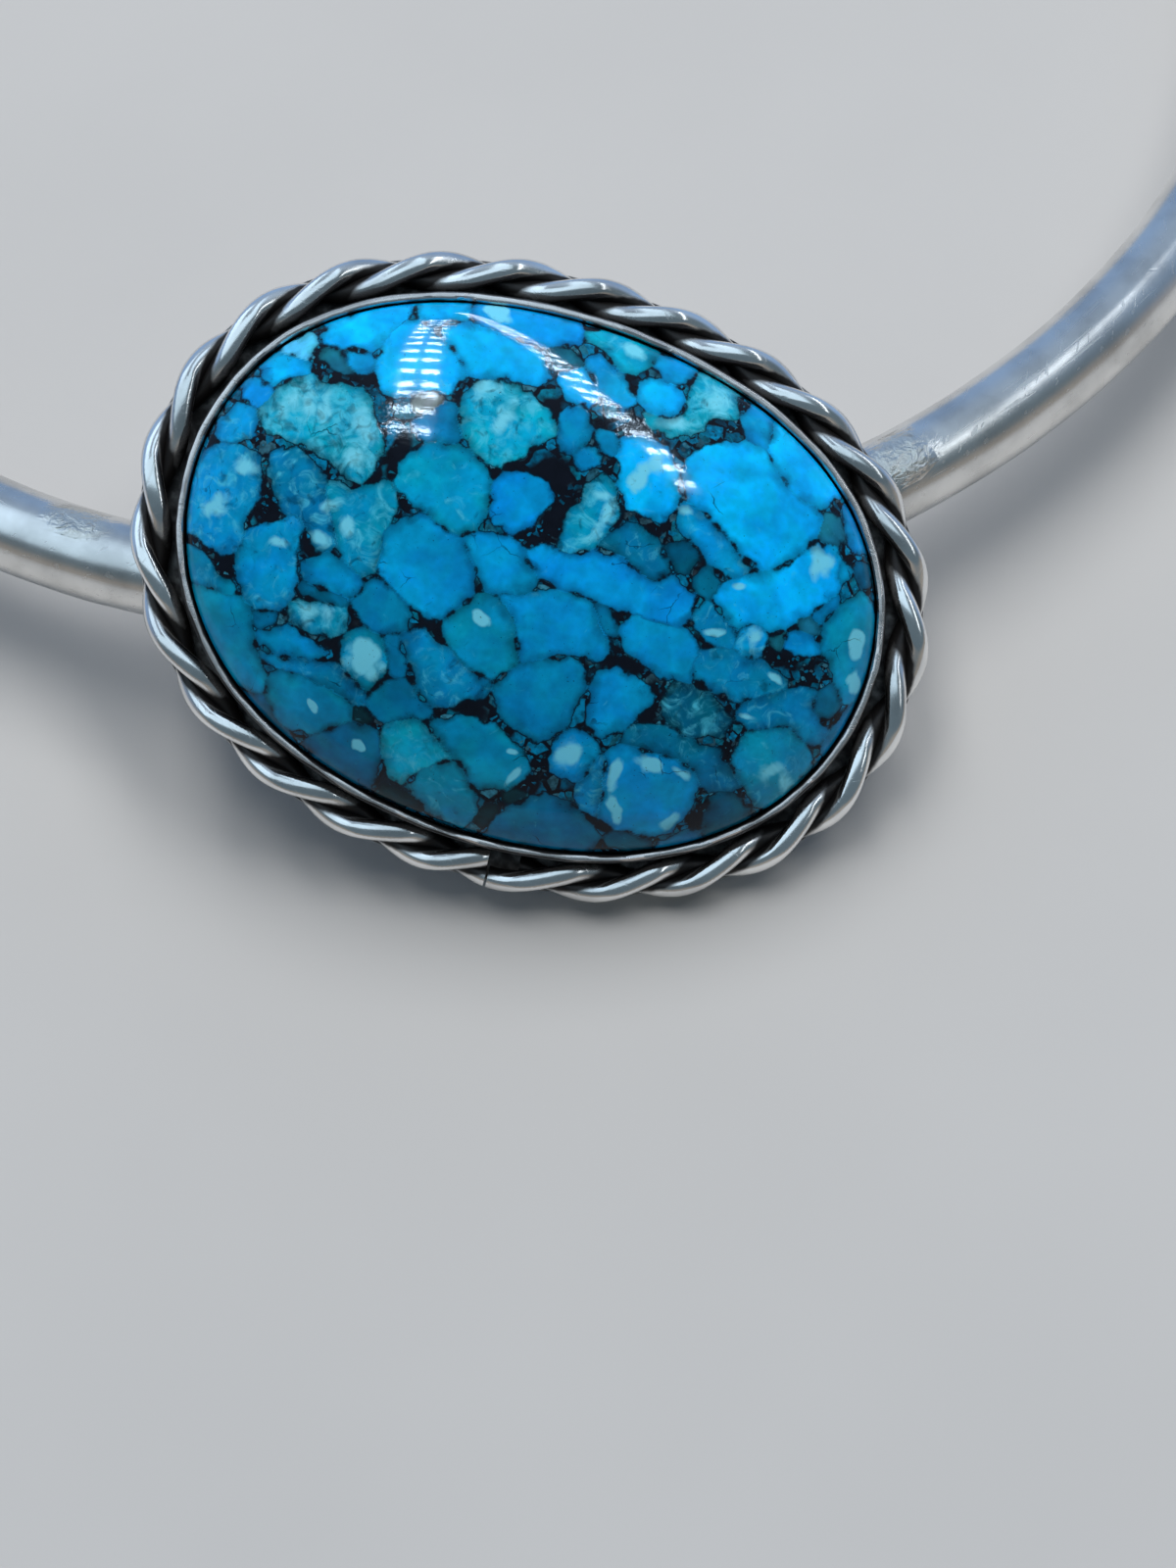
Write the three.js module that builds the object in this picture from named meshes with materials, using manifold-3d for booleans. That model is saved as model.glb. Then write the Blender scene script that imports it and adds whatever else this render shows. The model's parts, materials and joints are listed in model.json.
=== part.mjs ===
// A rigid silver collar choker with one large oval cabochon of composite turquoise.
//
// The collar is a round wire bent to an open ring. At its front it carries an oval back plate, tilted to
// face up and forward, with a bezel strip that holds the stone and a border of two-strand twisted wire.
// All the silver is soldered together, so it is one solid. The stone is a second solid, held in the bezel
// with a small clearance.
//
// Millimetres, +Z up. The choker rests as it does on a table: on the lower edge of its back plate, with
// the front of the collar raised a little, and on the two rounded tips of the collar. The origin is under
// the middle of its box.

import * as THREE from "three";
import { mergeVertices } from "three/addons/utils/BufferGeometryUtils.js";
import Module from "manifold-3d";

const wasm = await Module();
wasm.setup();

// ---- Driving dimensions -------------------------------------------------------------------------------

// Collar wire
const COLLAR_RADIUS = 60; // centre line of the wire
const WIRE_RADIUS = 2.9;
const BACK_OPENING = 50; // between the centres of the two rounded tips

// How the setting sits on the collar
const FACE_ELEVATION = THREE.MathUtils.degToRad(54); // the stone's axis above the plane of the collar
const OVAL_TURN = THREE.MathUtils.degToRad(-26); // the oval's long axis against the collar
const SEAT_DEPTH = 0.6; // how far the back plate is let into the wire
const SETTING_LIFT = 0.6; // the oval's centre above the wire's centre line, along the plate

// Half length and half width of each oval
const PLATE_OVAL = [25.45, 19.25];
const BEZEL_OVAL = [22.7, 17];
const STONE_OVAL = [21.95, 16.25];
const ROPE_OVAL = [24.4, 18.2]; // the axis of the twisted border

// The hand-made ovals are a little fuller than an ellipse at their four corners and a little egg-shaped
const OVAL_FULLNESS = 0.0118;
const OVAL_EGG = 0.006;

// Heights above the rear face of the back plate
const PLATE_TOP = 1;
const BEZEL_TOP = 5.1;
const STONE_BASE = 1.3;
const STONE_SHOULDER = 4.8;
const STONE_APEX = 9.7;

const BEZEL_WALL = 0.45;

// The stone's dome rises as (1 - reach ^ DOME_ROUNDNESS) ^ DOME_SHOULDER, reach being 1 at the rim
const DOME_ROUNDNESS = 2.2;
const DOME_SHOULDER = 0.62;

// Twisted border of two strands
const STRAND_RADIUS = 0.65;
const STRAND_BITE = 0.08; // how far each strand is pressed flat against the other
const ROPE_BEDDING = 0.1; // how far the border is sunk into the solder on the plate
const ROPE_HALF_TURNS = 25.4;
const ROPE_JOINT_ANGLE = THREE.MathUtils.degToRad(-82); // where its two ends meet, round the oval
const ROPE_JOINT_GAP = 0.3;

// The lean of the choker at rest is looked for up to this angle, this closely
const STEEPEST_LEAN = THREE.MathUtils.degToRad(15);
const LEAN_ERROR = 1e-6;

// How finely the round surfaces are faceted
const WIRE_SIDES = 16;
const WIRE_STEPS = 64;
const TIP_STEPS = 4;
const OVAL_SIDES = 72;
const DOME_STEPS = 9;
const ROPE_STEPS = 152;
const STRAND_SIDES = 6; // round the open part of each strand

// ---- Helpers ------------------------------------------------------------------------------------------

// Moves every vertex of a geometry to the place that `place` gives for it.
function reshape(geometry, place) {
  const position = geometry.attributes.position;
  const point = new THREE.Vector3();
  for (let i = 0; i < position.count; i++) {
    position.setXYZ(i, ...place(point.fromBufferAttribute(position, i)));
  }
  return geometry;
}

// A closed geometry as a solid that can be joined to others.
function toSolid(geometry) {
  const bare = geometry.clone().deleteAttribute("normal").deleteAttribute("uv");
  const merged = mergeVertices(bare, 1e-4);
  return new wasm.Manifold(
    new wasm.Mesh({
      numProp: 3,
      vertProperties: new Float32Array(merged.attributes.position.array),
      triVerts: new Uint32Array(merged.index.array),
    }),
  );
}

// A joined solid as a geometry again.
function toGeometry(solid) {
  const { vertProperties, triVerts } = solid.getMesh();
  const geometry = new THREE.BufferGeometry();
  geometry.setAttribute("position", new THREE.BufferAttribute(new Float32Array(vertProperties), 3));
  geometry.setIndex(new THREE.BufferAttribute(new Uint32Array(triVerts), 1));
  geometry.computeVertexNormals();
  return geometry;
}

// ---- Collar wire --------------------------------------------------------------------------------------

// A straight rod with rounded ends along Y, bent round the collar's circle with its middle at the front.
function wireGeometry() {
  const halfAngle = Math.PI - Math.asin(BACK_OPENING / 2 / COLLAR_RADIUS);
  const length = 2 * halfAngle * COLLAR_RADIUS;
  const rod = new THREE.CapsuleGeometry(WIRE_RADIUS, length, TIP_STEPS, WIRE_SIDES, WIRE_STEPS);
  return reshape(rod, ({ x, y, z }) => {
    const angle = y / COLLAR_RADIUS;
    const reach = COLLAR_RADIUS + x;
    return [reach * Math.sin(angle), -reach * Math.cos(angle), z];
  });
}

// ---- Setting ------------------------------------------------------------------------------------------
// Its own frame has the rear face of the plate at height 0 and the oval's long axis along X.

// How far the outline lies out at an angle, as a share of a true ellipse.
function ovalReach(angle) {
  return 1 - OVAL_FULLNESS * Math.cos(4 * angle) + OVAL_EGG * Math.sin(3 * angle);
}

function ovalPoint(angle, [halfLength, halfWidth]) {
  const reach = ovalReach(angle);
  return new THREE.Vector2(halfLength * reach * Math.cos(angle), halfWidth * reach * Math.sin(angle));
}

function ovalShape(oval) {
  const angles = Array.from({ length: OVAL_SIDES }, (_, i) => (2 * Math.PI * i) / OVAL_SIDES);
  return new THREE.Shape(angles.map((angle) => ovalPoint(angle, oval)));
}

function upright(shape, bottom, top) {
  const depth = top - bottom;
  return new THREE.ExtrudeGeometry(shape, { depth, bevelEnabled: false }).translate(0, 0, bottom);
}

function plateGeometry() {
  return upright(ovalShape(PLATE_OVAL), 0, PLATE_TOP);
}

// The bezel strip, with its foot let into the plate.
function bezelGeometry() {
  const shape = ovalShape(BEZEL_OVAL);
  shape.holes.push(ovalShape(BEZEL_OVAL.map((half) => half - BEZEL_WALL)));
  return upright(shape, PLATE_TOP / 2, BEZEL_TOP);
}

// The section of the border: two round strands side by side, pressed flat where they meet.
function strandPairShape() {
  const offset = STRAND_RADIUS - STRAND_BITE;
  const meeting = Math.PI - Math.acos(offset / STRAND_RADIUS);
  const shape = new THREE.Shape();
  shape.absarc(offset, 0, STRAND_RADIUS, -meeting, meeting, false);
  shape.absarc(-offset, 0, STRAND_RADIUS, Math.PI - meeting, Math.PI + meeting, false);
  return shape;
}

// The axis of the border, once round the oval from its joint and back, short of the joint's gap.
class RopeAxis extends THREE.Curve {
  getPoint(share, target = new THREE.Vector3()) {
    const gapAngle = ROPE_JOINT_GAP / ROPE_OVAL[0];
    const angle = ROPE_JOINT_ANGLE + gapAngle / 2 + (2 * Math.PI - gapAngle) * share;
    const { x, y } = ovalPoint(angle, ROPE_OVAL);
    return target.set(x, y, PLATE_TOP + 2 * STRAND_RADIUS - ROPE_BEDDING);
  }
}

// A straight bar of the pair's section, twisted with a left-hand lay as it is bent round the oval.
function ropeGeometry() {
  const axis = new RopeAxis();
  const up = new THREE.Vector3(0, 0, 1);
  const bar = new THREE.ExtrudeGeometry(strandPairShape(), {
    depth: 1,
    steps: ROPE_STEPS,
    curveSegments: STRAND_SIDES / 2,
    bevelEnabled: false,
  });
  return reshape(bar, ({ x, y, z: share }) => {
    const inward = up.clone().cross(axis.getTangentAt(share)).normalize();
    const twist = -Math.PI * ROPE_HALF_TURNS * share;
    const section = new THREE.Vector2(x, y).rotateAround(new THREE.Vector2(), twist);
    return axis.getPointAt(share).addScaledVector(inward, section.x).addScaledVector(up, section.y);
  });
}

// The cabochon: a round stone of radius 1 in plan, turned on a lathe and then drawn out to the oval.
function stoneGeometry() {
  const profile = [new THREE.Vector2(0, STONE_BASE), new THREE.Vector2(1, STONE_BASE)];
  for (let i = 0; i < DOME_STEPS; i++) {
    const reach = Math.cos(((Math.PI / 2) * i) / DOME_STEPS);
    const rise = (1 - reach ** DOME_ROUNDNESS) ** DOME_SHOULDER;
    profile.push(new THREE.Vector2(reach, STONE_SHOULDER + (STONE_APEX - STONE_SHOULDER) * rise));
  }
  profile.push(new THREE.Vector2(0, STONE_APEX));
  const round = new THREE.LatheGeometry(profile, OVAL_SIDES).rotateX(Math.PI / 2);
  return reshape(round, ({ x, y, z }) => {
    const reach = ovalReach(Math.atan2(y, x));
    return [x * reach * STONE_OVAL[0], y * reach * STONE_OVAL[1], z];
  });
}

// ---- Assembly -----------------------------------------------------------------------------------------

const silver = new THREE.MeshStandardMaterial({ color: 0xc9c8c4, roughness: 0.28, metalness: 1 });
const turquoise = new THREE.MeshStandardMaterial({ color: 0x1193c4, roughness: 0.12, metalness: 0 });

// Takes the setting from its own frame to its place at the front of the collar.
function settingPlace() {
  const place = new THREE.Matrix4().makeTranslation(0, -COLLAR_RADIUS, 0);
  place.multiply(new THREE.Matrix4().makeRotationX(Math.PI / 2 - FACE_ELEVATION));
  place.multiply(new THREE.Matrix4().makeTranslation(0, SETTING_LIFT, WIRE_RADIUS - SEAT_DEPTH));
  return place.multiply(new THREE.Matrix4().makeRotationZ(OVAL_TURN));
}

function silverCollar() {
  const place = settingPlace();
  const wire = toSolid(wireGeometry());
  const setting = [plateGeometry(), bezelGeometry(), ropeGeometry()];
  const soldered = setting.reduce((whole, piece) => whole.add(toSolid(piece.applyMatrix4(place))), wire);
  const mesh = new THREE.Mesh(toGeometry(soldered), silver);
  mesh.name = "silver_collar";
  return mesh;
}

function turquoiseStone() {
  const mesh = new THREE.Mesh(stoneGeometry(), turquoise);
  mesh.name = "turquoise_stone";
  mesh.applyMatrix4(settingPlace());
  return mesh;
}

// The lowest height of the points on one side of the collar's middle, once the choker is leaned back.
function lowestHeight(geometry, lean, isOnSide) {
  const position = geometry.attributes.position;
  let lowest = Infinity;
  for (let i = 0; i < position.count; i++) {
    if (isOnSide(position.getY(i))) {
      const height = position.getZ(i) * Math.cos(lean) - position.getY(i) * Math.sin(lean);
      lowest = Math.min(lowest, height);
    }
  }
  return lowest;
}

// The lean at which the setting in front and the two tips behind touch one plane, found by halving.
function restLean(geometry) {
  let low = 0;
  let high = STEEPEST_LEAN;
  while (high - low > LEAN_ERROR) {
    const lean = (low + high) / 2;
    const front = lowestHeight(geometry, lean, (y) => y < 0);
    const back = lowestHeight(geometry, lean, (y) => y > 0);
    if (front < back) {
      low = lean;
    } else {
      high = lean;
    }
  }
  return low;
}

const collar = silverCollar();
const choker = new THREE.Group();
choker.add(collar, turquoiseStone());
choker.rotation.x = -restLean(collar.geometry);

// Stand the choker on the plane z = 0, with the middle of its box over the origin.
const box = new THREE.Box3().setFromObject(choker, true);
const middle = box.getCenter(new THREE.Vector3());
choker.position.set(-middle.x, -middle.y, -box.min.z);

export default choker;
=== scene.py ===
"""A rigid silver collar choker with a large oval cabochon of composite turquoise.

The collar is a round wire, open at the back. An oval back plate is soldered on its front, and carries the
bezel strip that holds the stone and a border of two-strand twisted wire. Each part is modelled in
millimetres in the frame that suits it, the collar's own or the setting's own, and then set in its place.
"""

import json
import logging
import math
from abc import ABC, abstractmethod
from collections.abc import Callable, Iterator, Sequence
from contextlib import contextmanager
from dataclasses import dataclass, field
from enum import Enum

import bmesh
import bpy
import numpy as np
from mathutils import Euler, Matrix, Vector, noise


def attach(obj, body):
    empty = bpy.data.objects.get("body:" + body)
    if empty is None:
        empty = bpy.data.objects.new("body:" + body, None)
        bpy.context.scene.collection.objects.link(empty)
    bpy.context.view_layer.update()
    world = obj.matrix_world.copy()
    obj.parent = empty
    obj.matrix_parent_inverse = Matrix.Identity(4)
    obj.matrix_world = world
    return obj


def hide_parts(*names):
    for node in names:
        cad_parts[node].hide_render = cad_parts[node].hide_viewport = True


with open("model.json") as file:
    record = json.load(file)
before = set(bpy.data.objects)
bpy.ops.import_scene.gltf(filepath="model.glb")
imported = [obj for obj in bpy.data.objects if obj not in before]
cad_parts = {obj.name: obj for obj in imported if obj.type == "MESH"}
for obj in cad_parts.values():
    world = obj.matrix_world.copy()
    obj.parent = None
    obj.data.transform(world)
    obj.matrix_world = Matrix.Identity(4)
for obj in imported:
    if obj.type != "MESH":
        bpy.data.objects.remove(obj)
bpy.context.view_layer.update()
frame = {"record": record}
LOG = logging.getLogger("choker")

MM = 0.001
SILVER_NODE = "silver_collar"
STONE_NODE = "turquoise_stone"
WELD = 0.0005
NEAR = 0.01
SMOOTH_UNDER = math.radians(40)

Piece = bpy.types.Object
Socket = bpy.types.NodeSocket
Point = tuple[float, float]
Range = tuple[float, float]
Colour = tuple[float, float, float]
Triple = tuple[float, float, float]


# ---- Places ----


@dataclass(frozen=True)
class Oval:
    """A hand-made oval: an ellipse, a little fuller at its four corners and a little egg-shaped."""

    half_length: float
    half_width: float
    fullness: float = 0.0118
    egg: float = 0.006

    def reach(self, angle: float | np.ndarray) -> float | np.ndarray:
        """How far the outline lies out at an angle, as a share of a true ellipse."""
        return 1 - self.fullness * np.cos(4 * angle) + self.egg * np.sin(3 * angle)

    def point(self, angle: float, inset: float = 0) -> Point:
        """The outline's point at an angle.

        Args:
            angle: In radians, anticlockwise from the long axis.
            inset: How far inside the outline the point lies.

        Returns:
            Its place in millimetres.
        """
        reach = self.reach(angle)
        return (
            (self.half_length - inset) * reach * math.cos(angle),
            (self.half_width - inset) * reach * math.sin(angle),
        )


@dataclass(frozen=True)
class Assembly:
    """The frames of the collar and of the setting, found from the plate's mount in the record."""

    collar_radius: float = 60
    wire_radius: float = 2.9
    seat_height: float = 2.3
    setting_lift: float = 0.6
    face_elevation: float = math.radians(54)
    oval_turn: float = math.radians(-26)
    mount_in_setting: Point = (-7, -14.5)

    @property
    def mount(self) -> dict:
        """The mount on the plate's rear face, as the record gives it."""
        return frame["record"]["mounts"][0]

    @property
    def normal(self) -> Vector:
        """The stone's axis, which the plate's mount points against."""
        return -Vector(self.mount["axis"]).normalized()

    @property
    def uphill(self) -> Vector:
        """The direction on the plate's face that climbs most steeply."""
        return Vector((0, self.normal.z, -self.normal.y))

    @property
    def plate_centre(self) -> Vector:
        """The middle of the plate's rear face, in millimetres."""
        across, along = self.mount_in_setting
        return Vector(self.mount["pos_m"]) / MM - Vector((across, 0, 0)) - self.uphill * along

    @property
    def wire_front(self) -> Vector:
        """The wire's centre line at the very front of the collar, in millimetres."""
        return self.plate_centre - self.uphill * self.setting_lift - self.normal * self.seat_height

    def setting(self) -> Matrix:
        """From the setting's frame, in millimetres, to the choker's, in metres."""
        axes = Matrix.Identity(3)
        axes.col[0] = Vector((1, 0, 0))
        axes.col[1] = self.uphill
        axes.col[2] = self.normal
        place = Matrix.Translation(self.plate_centre) @ axes.to_4x4()
        return Matrix.Scale(MM, 4) @ place @ Matrix.Rotation(self.oval_turn, 4, "Z")

    def collar(self) -> Matrix:
        """From the collar's frame, in millimetres, to the choker's, in metres."""
        lean = math.asin(self.normal.z) - self.face_elevation
        turned = Matrix.Rotation(-lean, 4, "X")
        centre = self.wire_front + turned @ Vector((0, self.collar_radius, 0))
        return Matrix.Scale(MM, 4) @ Matrix.Translation(centre) @ turned


# ---- Modelling helpers ----


def activate(piece: Piece) -> None:
    """Leaves one piece selected, and active."""
    bpy.ops.object.select_all(action="DESELECT")
    piece.select_set(True)
    bpy.context.view_layer.objects.active = piece


@contextmanager
def editing(piece: Piece) -> Iterator[bmesh.types.BMesh]:
    """Opens a piece in edit mode with nothing selected.

    Args:
        piece: The mesh object to edit.

    Yields:
        Its live mesh.
    """
    activate(piece)
    bpy.ops.object.mode_set(mode="EDIT")
    bpy.ops.mesh.select_mode(type="VERT")
    bpy.ops.mesh.select_all(action="DESELECT")
    try:
        yield bmesh.from_edit_mesh(piece.data)
    finally:
        bpy.ops.object.mode_set(mode="OBJECT")


def pick(piece: Piece, live: bmesh.types.BMesh, test: Callable[[Vector], bool]) -> None:
    """Selects exactly the corners of a piece in edit mode that pass a test of their place.

    Args:
        piece: The piece.
        live: Its live mesh.
        test: Says if the corner at a place is picked.
    """
    for vertex in live.verts:
        vertex.select_set(test(vertex.co))
    live.select_flush_mode()
    bmesh.update_edit_mesh(piece.data)


def extrude(move: Sequence[float]) -> None:
    """Extrudes what is selected in edit mode, and moves it."""
    bpy.ops.mesh.extrude_region_move(TRANSFORM_OT_translate={"value": move})


def pick_open_edges() -> None:
    """Selects exactly the open edges of the mesh in edit mode."""
    bpy.ops.mesh.select_all(action="DESELECT")
    bpy.ops.mesh.select_non_manifold()


def close_ends() -> None:
    """Closes each open loop of the mesh in edit mode with one face."""
    pick_open_edges()
    bpy.ops.mesh.fill_holes(sides=0)


def spin_round(steps: int, half_sweep: float) -> None:
    """Spins the whole mesh in edit mode about the collar's axis, from one end of a sweep to the other."""
    bpy.ops.mesh.select_all(action="SELECT")
    bpy.ops.mesh.spin(steps=steps, angle=-2 * half_sweep, center=(0, 0, 0), axis=(0, 0, 1))


def new_piece(name: str) -> Piece:
    """Names the piece that an operator has just added.

    Args:
        name: Its name.

    Returns:
        The piece.
    """
    piece = bpy.context.view_layer.objects.active
    piece.name = name
    piece.data.name = name
    return piece


def new_section(
    name: str, sides: int, radius: float, location: Sequence[float], heading: float = 0
) -> Piece:
    """Adds the open round section that a wire, a strand or a bead starts from.

    Args:
        name: The piece's name.
        sides: How many points it has.
        radius: Its radius.
        location: Its middle.
        heading: How far its axis is turned from X, about Z.

    Returns:
        The loop of edges.
    """
    bpy.ops.mesh.primitive_circle_add(
        vertices=sides,
        radius=radius,
        fill_type="NOTHING",
        location=location,
        rotation=(0, math.pi / 2, heading),
    )
    piece = new_piece(name)
    bpy.ops.object.transform_apply()
    return piece


def places(piece: Piece) -> np.ndarray:
    """The corners of a mesh, one row each."""
    flat = np.empty(len(piece.data.vertices) * 3)
    piece.data.vertices.foreach_get("co", flat)
    return flat.reshape(-1, 3)


def set_places(piece: Piece, rows: np.ndarray) -> None:
    """Moves the corners of a mesh."""
    piece.data.vertices.foreach_set("co", rows.reshape(-1).astype(np.float32))
    piece.data.update()


def store(piece: Piece, name: str, values: np.ndarray) -> None:
    """Keeps one number, or one vector, for each corner of a mesh.

    Args:
        piece: The mesh object.
        name: The attribute's name.
        values: One row for each corner.
    """
    kind = "FLOAT_VECTOR" if values.ndim == 2 else "FLOAT"
    made = piece.data.attributes.new(name, kind, "POINT")
    made.data.foreach_set("vector" if values.ndim == 2 else "value", values.reshape(-1).astype(np.float32))


def store_for_silver(
    piece: Piece,
    own: np.ndarray,
    recess: float | np.ndarray = 0.0,
    flooded: float | np.ndarray = 0.0,
) -> None:
    """Keeps what a silver finish reads at each corner of a mesh.

    Args:
        piece: The mesh object.
        own: The corner's place on the part, in millimetres.
        recess: How deep it lies in oxide and painted shade.
        flooded: How far solder has flooded it, or a tool has worked it.
    """
    store(piece, "own", own)
    store(piece, "recess", np.broadcast_to(recess, len(own)))
    store(piece, "flooded", np.broadcast_to(flooded, len(own)))


def smoothstep(low: float, high: float, value: np.ndarray) -> np.ndarray:
    """Rises smoothly from 0 at low to 1 at high; low may be the larger."""
    share = np.clip((value - low) / (high - low), 0, 1)
    return share * share * (3 - 2 * share)


@dataclass(frozen=True)
class Ripple:
    """Smooth noise over a mesh: its reach either way, the size of its waves, and a shift of its pattern."""

    reach: float
    size: float
    seed: float

    def over(self, rows: np.ndarray, shift: float = 0) -> np.ndarray:
        """The noise at each place, in any other pattern of the same kind when shifted.

        Args:
            rows: Places in millimetres, one row each.
            shift: Changes the pattern.

        Returns:
            One number for each place.
        """
        seed = self.seed + shift
        away = Vector((seed, 2 * seed, 0))
        return self.reach * np.array([noise.noise(Vector(row) / self.size + away) for row in rows])


def outward(flat: np.ndarray) -> np.ndarray:
    """The level direction from the axis to each place, one row each."""
    return flat / np.maximum(np.linalg.norm(flat, axis=1), 1e-6)[:, None]


def collar_angle(rows: np.ndarray) -> np.ndarray:
    """How far round the collar each place lies, from its front, in radians."""
    return np.arctan2(rows[:, 0], -rows[:, 1])


def finish_piece(piece: Piece, place: Matrix, finish: bpy.types.Material) -> None:
    """Sets a piece in place, smooth and outward-facing, and gives it its finish.

    Args:
        piece: A mesh object modelled in millimetres in its own frame.
        place: From that frame to the choker's.
        finish: Its material.
    """
    with editing(piece):
        bpy.ops.mesh.select_all(action="SELECT")
        bpy.ops.mesh.remove_doubles(threshold=WELD)
        bpy.ops.mesh.normals_make_consistent(inside=False)
    piece.data.transform(place)
    piece.matrix_world = Matrix.Identity(4)
    activate(piece)
    bpy.ops.object.shade_smooth_by_angle(angle=SMOOTH_UNDER)
    piece.data.materials.clear()
    piece.data.materials.append(finish)
    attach(piece, "root")


# ---- Shader helpers ----


@dataclass(frozen=True)
class Nodes:
    """The node tree of a material, a group, a light or the world, filled a node at a time."""

    tree: bpy.types.NodeTree

    def feed(self, socket: Socket, value: object) -> None:
        """Links an input to an output, or sets the input's own value."""
        if isinstance(value, Socket):
            self.tree.links.new(value, socket)
        else:
            socket.default_value = value

    def add(self, kind: str, inputs: dict | None = None, **settings: object) -> bpy.types.Node:
        """Adds a node.

        Args:
            kind: The node's type without its ShaderNode prefix.
            inputs: Values or sockets for its inputs, by name or number.
            **settings: The node's own properties.

        Returns:
            The node.
        """
        node = self.tree.nodes.new(f"ShaderNode{kind}")
        for name, value in settings.items():
            setattr(node, name, value)
        for name, value in (inputs or {}).items():
            self.feed(node.inputs[name], value)
        return node

    def number(self, name: str) -> Socket:
        """A number that the mesh keeps for each corner."""
        return self.add("Attribute", attribute_name=name).outputs["Fac"]

    def vector(self, name: str) -> Socket:
        """A vector or colour that the mesh keeps for each corner."""
        return self.add("Attribute", attribute_name=name).outputs["Vector"]

    def maths(self, how: str, *values: object) -> Socket:
        """The result of a Math node on up to three numbers or sockets."""
        return self.add("Math", dict(enumerate(values)), operation=how).outputs[0]

    def product(self, first: object, second: object) -> Socket:
        """One number times another."""
        return self.maths("MULTIPLY", first, second)

    def line(self, value: object, slope: object, start: object) -> Socket:
        """A number times a slope, added to a start."""
        return self.maths("MULTIPLY_ADD", value, slope, start)

    def vectors(self, how: str, first: object, second: object) -> Socket:
        """The result of a Vector Math node on two vectors."""
        return self.add("VectorMath", {0: first, 1: second}, operation=how).outputs[0]

    def scaled(self, vector: object, size: object) -> Socket:
        """A vector or colour times a number."""
        return self.add("VectorMath", {0: vector, "Scale": size}, operation="SCALE").outputs[0]

    def turned(self, place: object, angle: float) -> Socket:
        """A place turned about the third axis."""
        return self.add("VectorRotate", {"Vector": place, "Angle": angle}, rotation_type="Z_AXIS").outputs[0]

    def between(self, value: object, low: float, high: float, start: float = 0, end: float = 1) -> Socket:
        """Maps low to high smoothly on to start to end, and holds it there outside them."""
        inputs = {"Value": value, "From Min": low, "From Max": high, "To Min": start, "To Max": end}
        return self.add("MapRange", inputs, interpolation_type="SMOOTHSTEP").outputs["Result"]

    def blend(self, share: object, first: object, second: object) -> Socket:
        """Mixes two colours, by the share of the second.

        Args:
            share: How much of the second.
            first: The first colour.
            second: The second colour.

        Returns:
            The mixed colour.
        """
        node = self.add("Mix", data_type="RGBA")
        sockets = {socket.identifier: socket for socket in node.inputs}
        for name, value in (("Factor_Float", share), ("A_Color", first), ("B_Color", second)):
            self.feed(sockets[name], (*value, 1) if isinstance(value, tuple) else value)
        return next(socket for socket in node.outputs if socket.identifier == "Result_Color")

    def cells(self, place: object, scale: float, feature: str = "F1") -> bpy.types.Node:
        """Irregular cells; scale is in cells for each unit of place."""
        return self.add("TexVoronoi", {"Vector": place, "Scale": scale}, feature=feature)

    def bumped(self, height: object, depth: float) -> Socket:
        """The normal of a surface raised by a height, in units of a depth in millimetres."""
        return self.add("Bump", {"Height": height, "Distance": depth * MM, "Strength": 1.0}).outputs[0]


@dataclass(frozen=True)
class Waves:
    """Soft noise between 0 and 1: how many waves to a unit of place, and how detailed, swirled and rough."""

    scale: float
    detail: float
    swirl: float = 0.0
    roughness: float = 0.5

    def node(self, nodes: Nodes, place: object) -> bpy.types.Node:
        """The noise's node, at a place."""
        inputs = {"Vector": place, "Scale": self.scale, "Detail": self.detail}
        inputs |= {"Distortion": self.swirl, "Roughness": self.roughness}
        return nodes.add("TexNoise", inputs)

    def over(self, nodes: Nodes, place: object) -> Socket:
        """The noise at a place."""
        return self.node(nodes, place).outputs["Fac"]

    def either_way(self, nodes: Nodes, place: object, reach: float) -> Socket:
        """The noise at a place, made to run from -reach to reach."""
        return nodes.line(self.over(nodes, place), 2 * reach, -reach)

    def moved(self, nodes: Nodes, place: object, reach: float) -> Socket:
        """A place moved about by the noise in each direction, for outlines that wander."""
        return nodes.vectors("ADD", place, nodes.scaled(self.node(nodes, place).outputs["Color"], reach))


@dataclass(frozen=True)
class Tone:
    """Noise mapped smoothly on to start, where its waves are under low, to end, where they are over high."""

    waves: Waves
    low: float
    high: float
    start: float = 0.0
    end: float = 1.0

    def over(self, nodes: Nodes, place: object) -> Socket:
        """The tone at a place."""
        return nodes.between(self.waves.over(nodes, place), self.low, self.high, self.start, self.end)


def new_material(name: str) -> tuple[bpy.types.Material, Nodes, dict[str, Socket]]:
    """Makes an empty material with a Principled BSDF.

    Args:
        name: The material's name.

    Returns:
        The material, its nodes, and the inputs of the Principled BSDF.
    """
    material = bpy.data.materials.new(name)
    material.use_nodes = True
    material.node_tree.nodes.clear()
    nodes = Nodes(material.node_tree)
    shader = nodes.add("BsdfPrincipled")
    nodes.add("OutputMaterial", {"Surface": shader.outputs[0]})
    return material, nodes, shader.inputs


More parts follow.
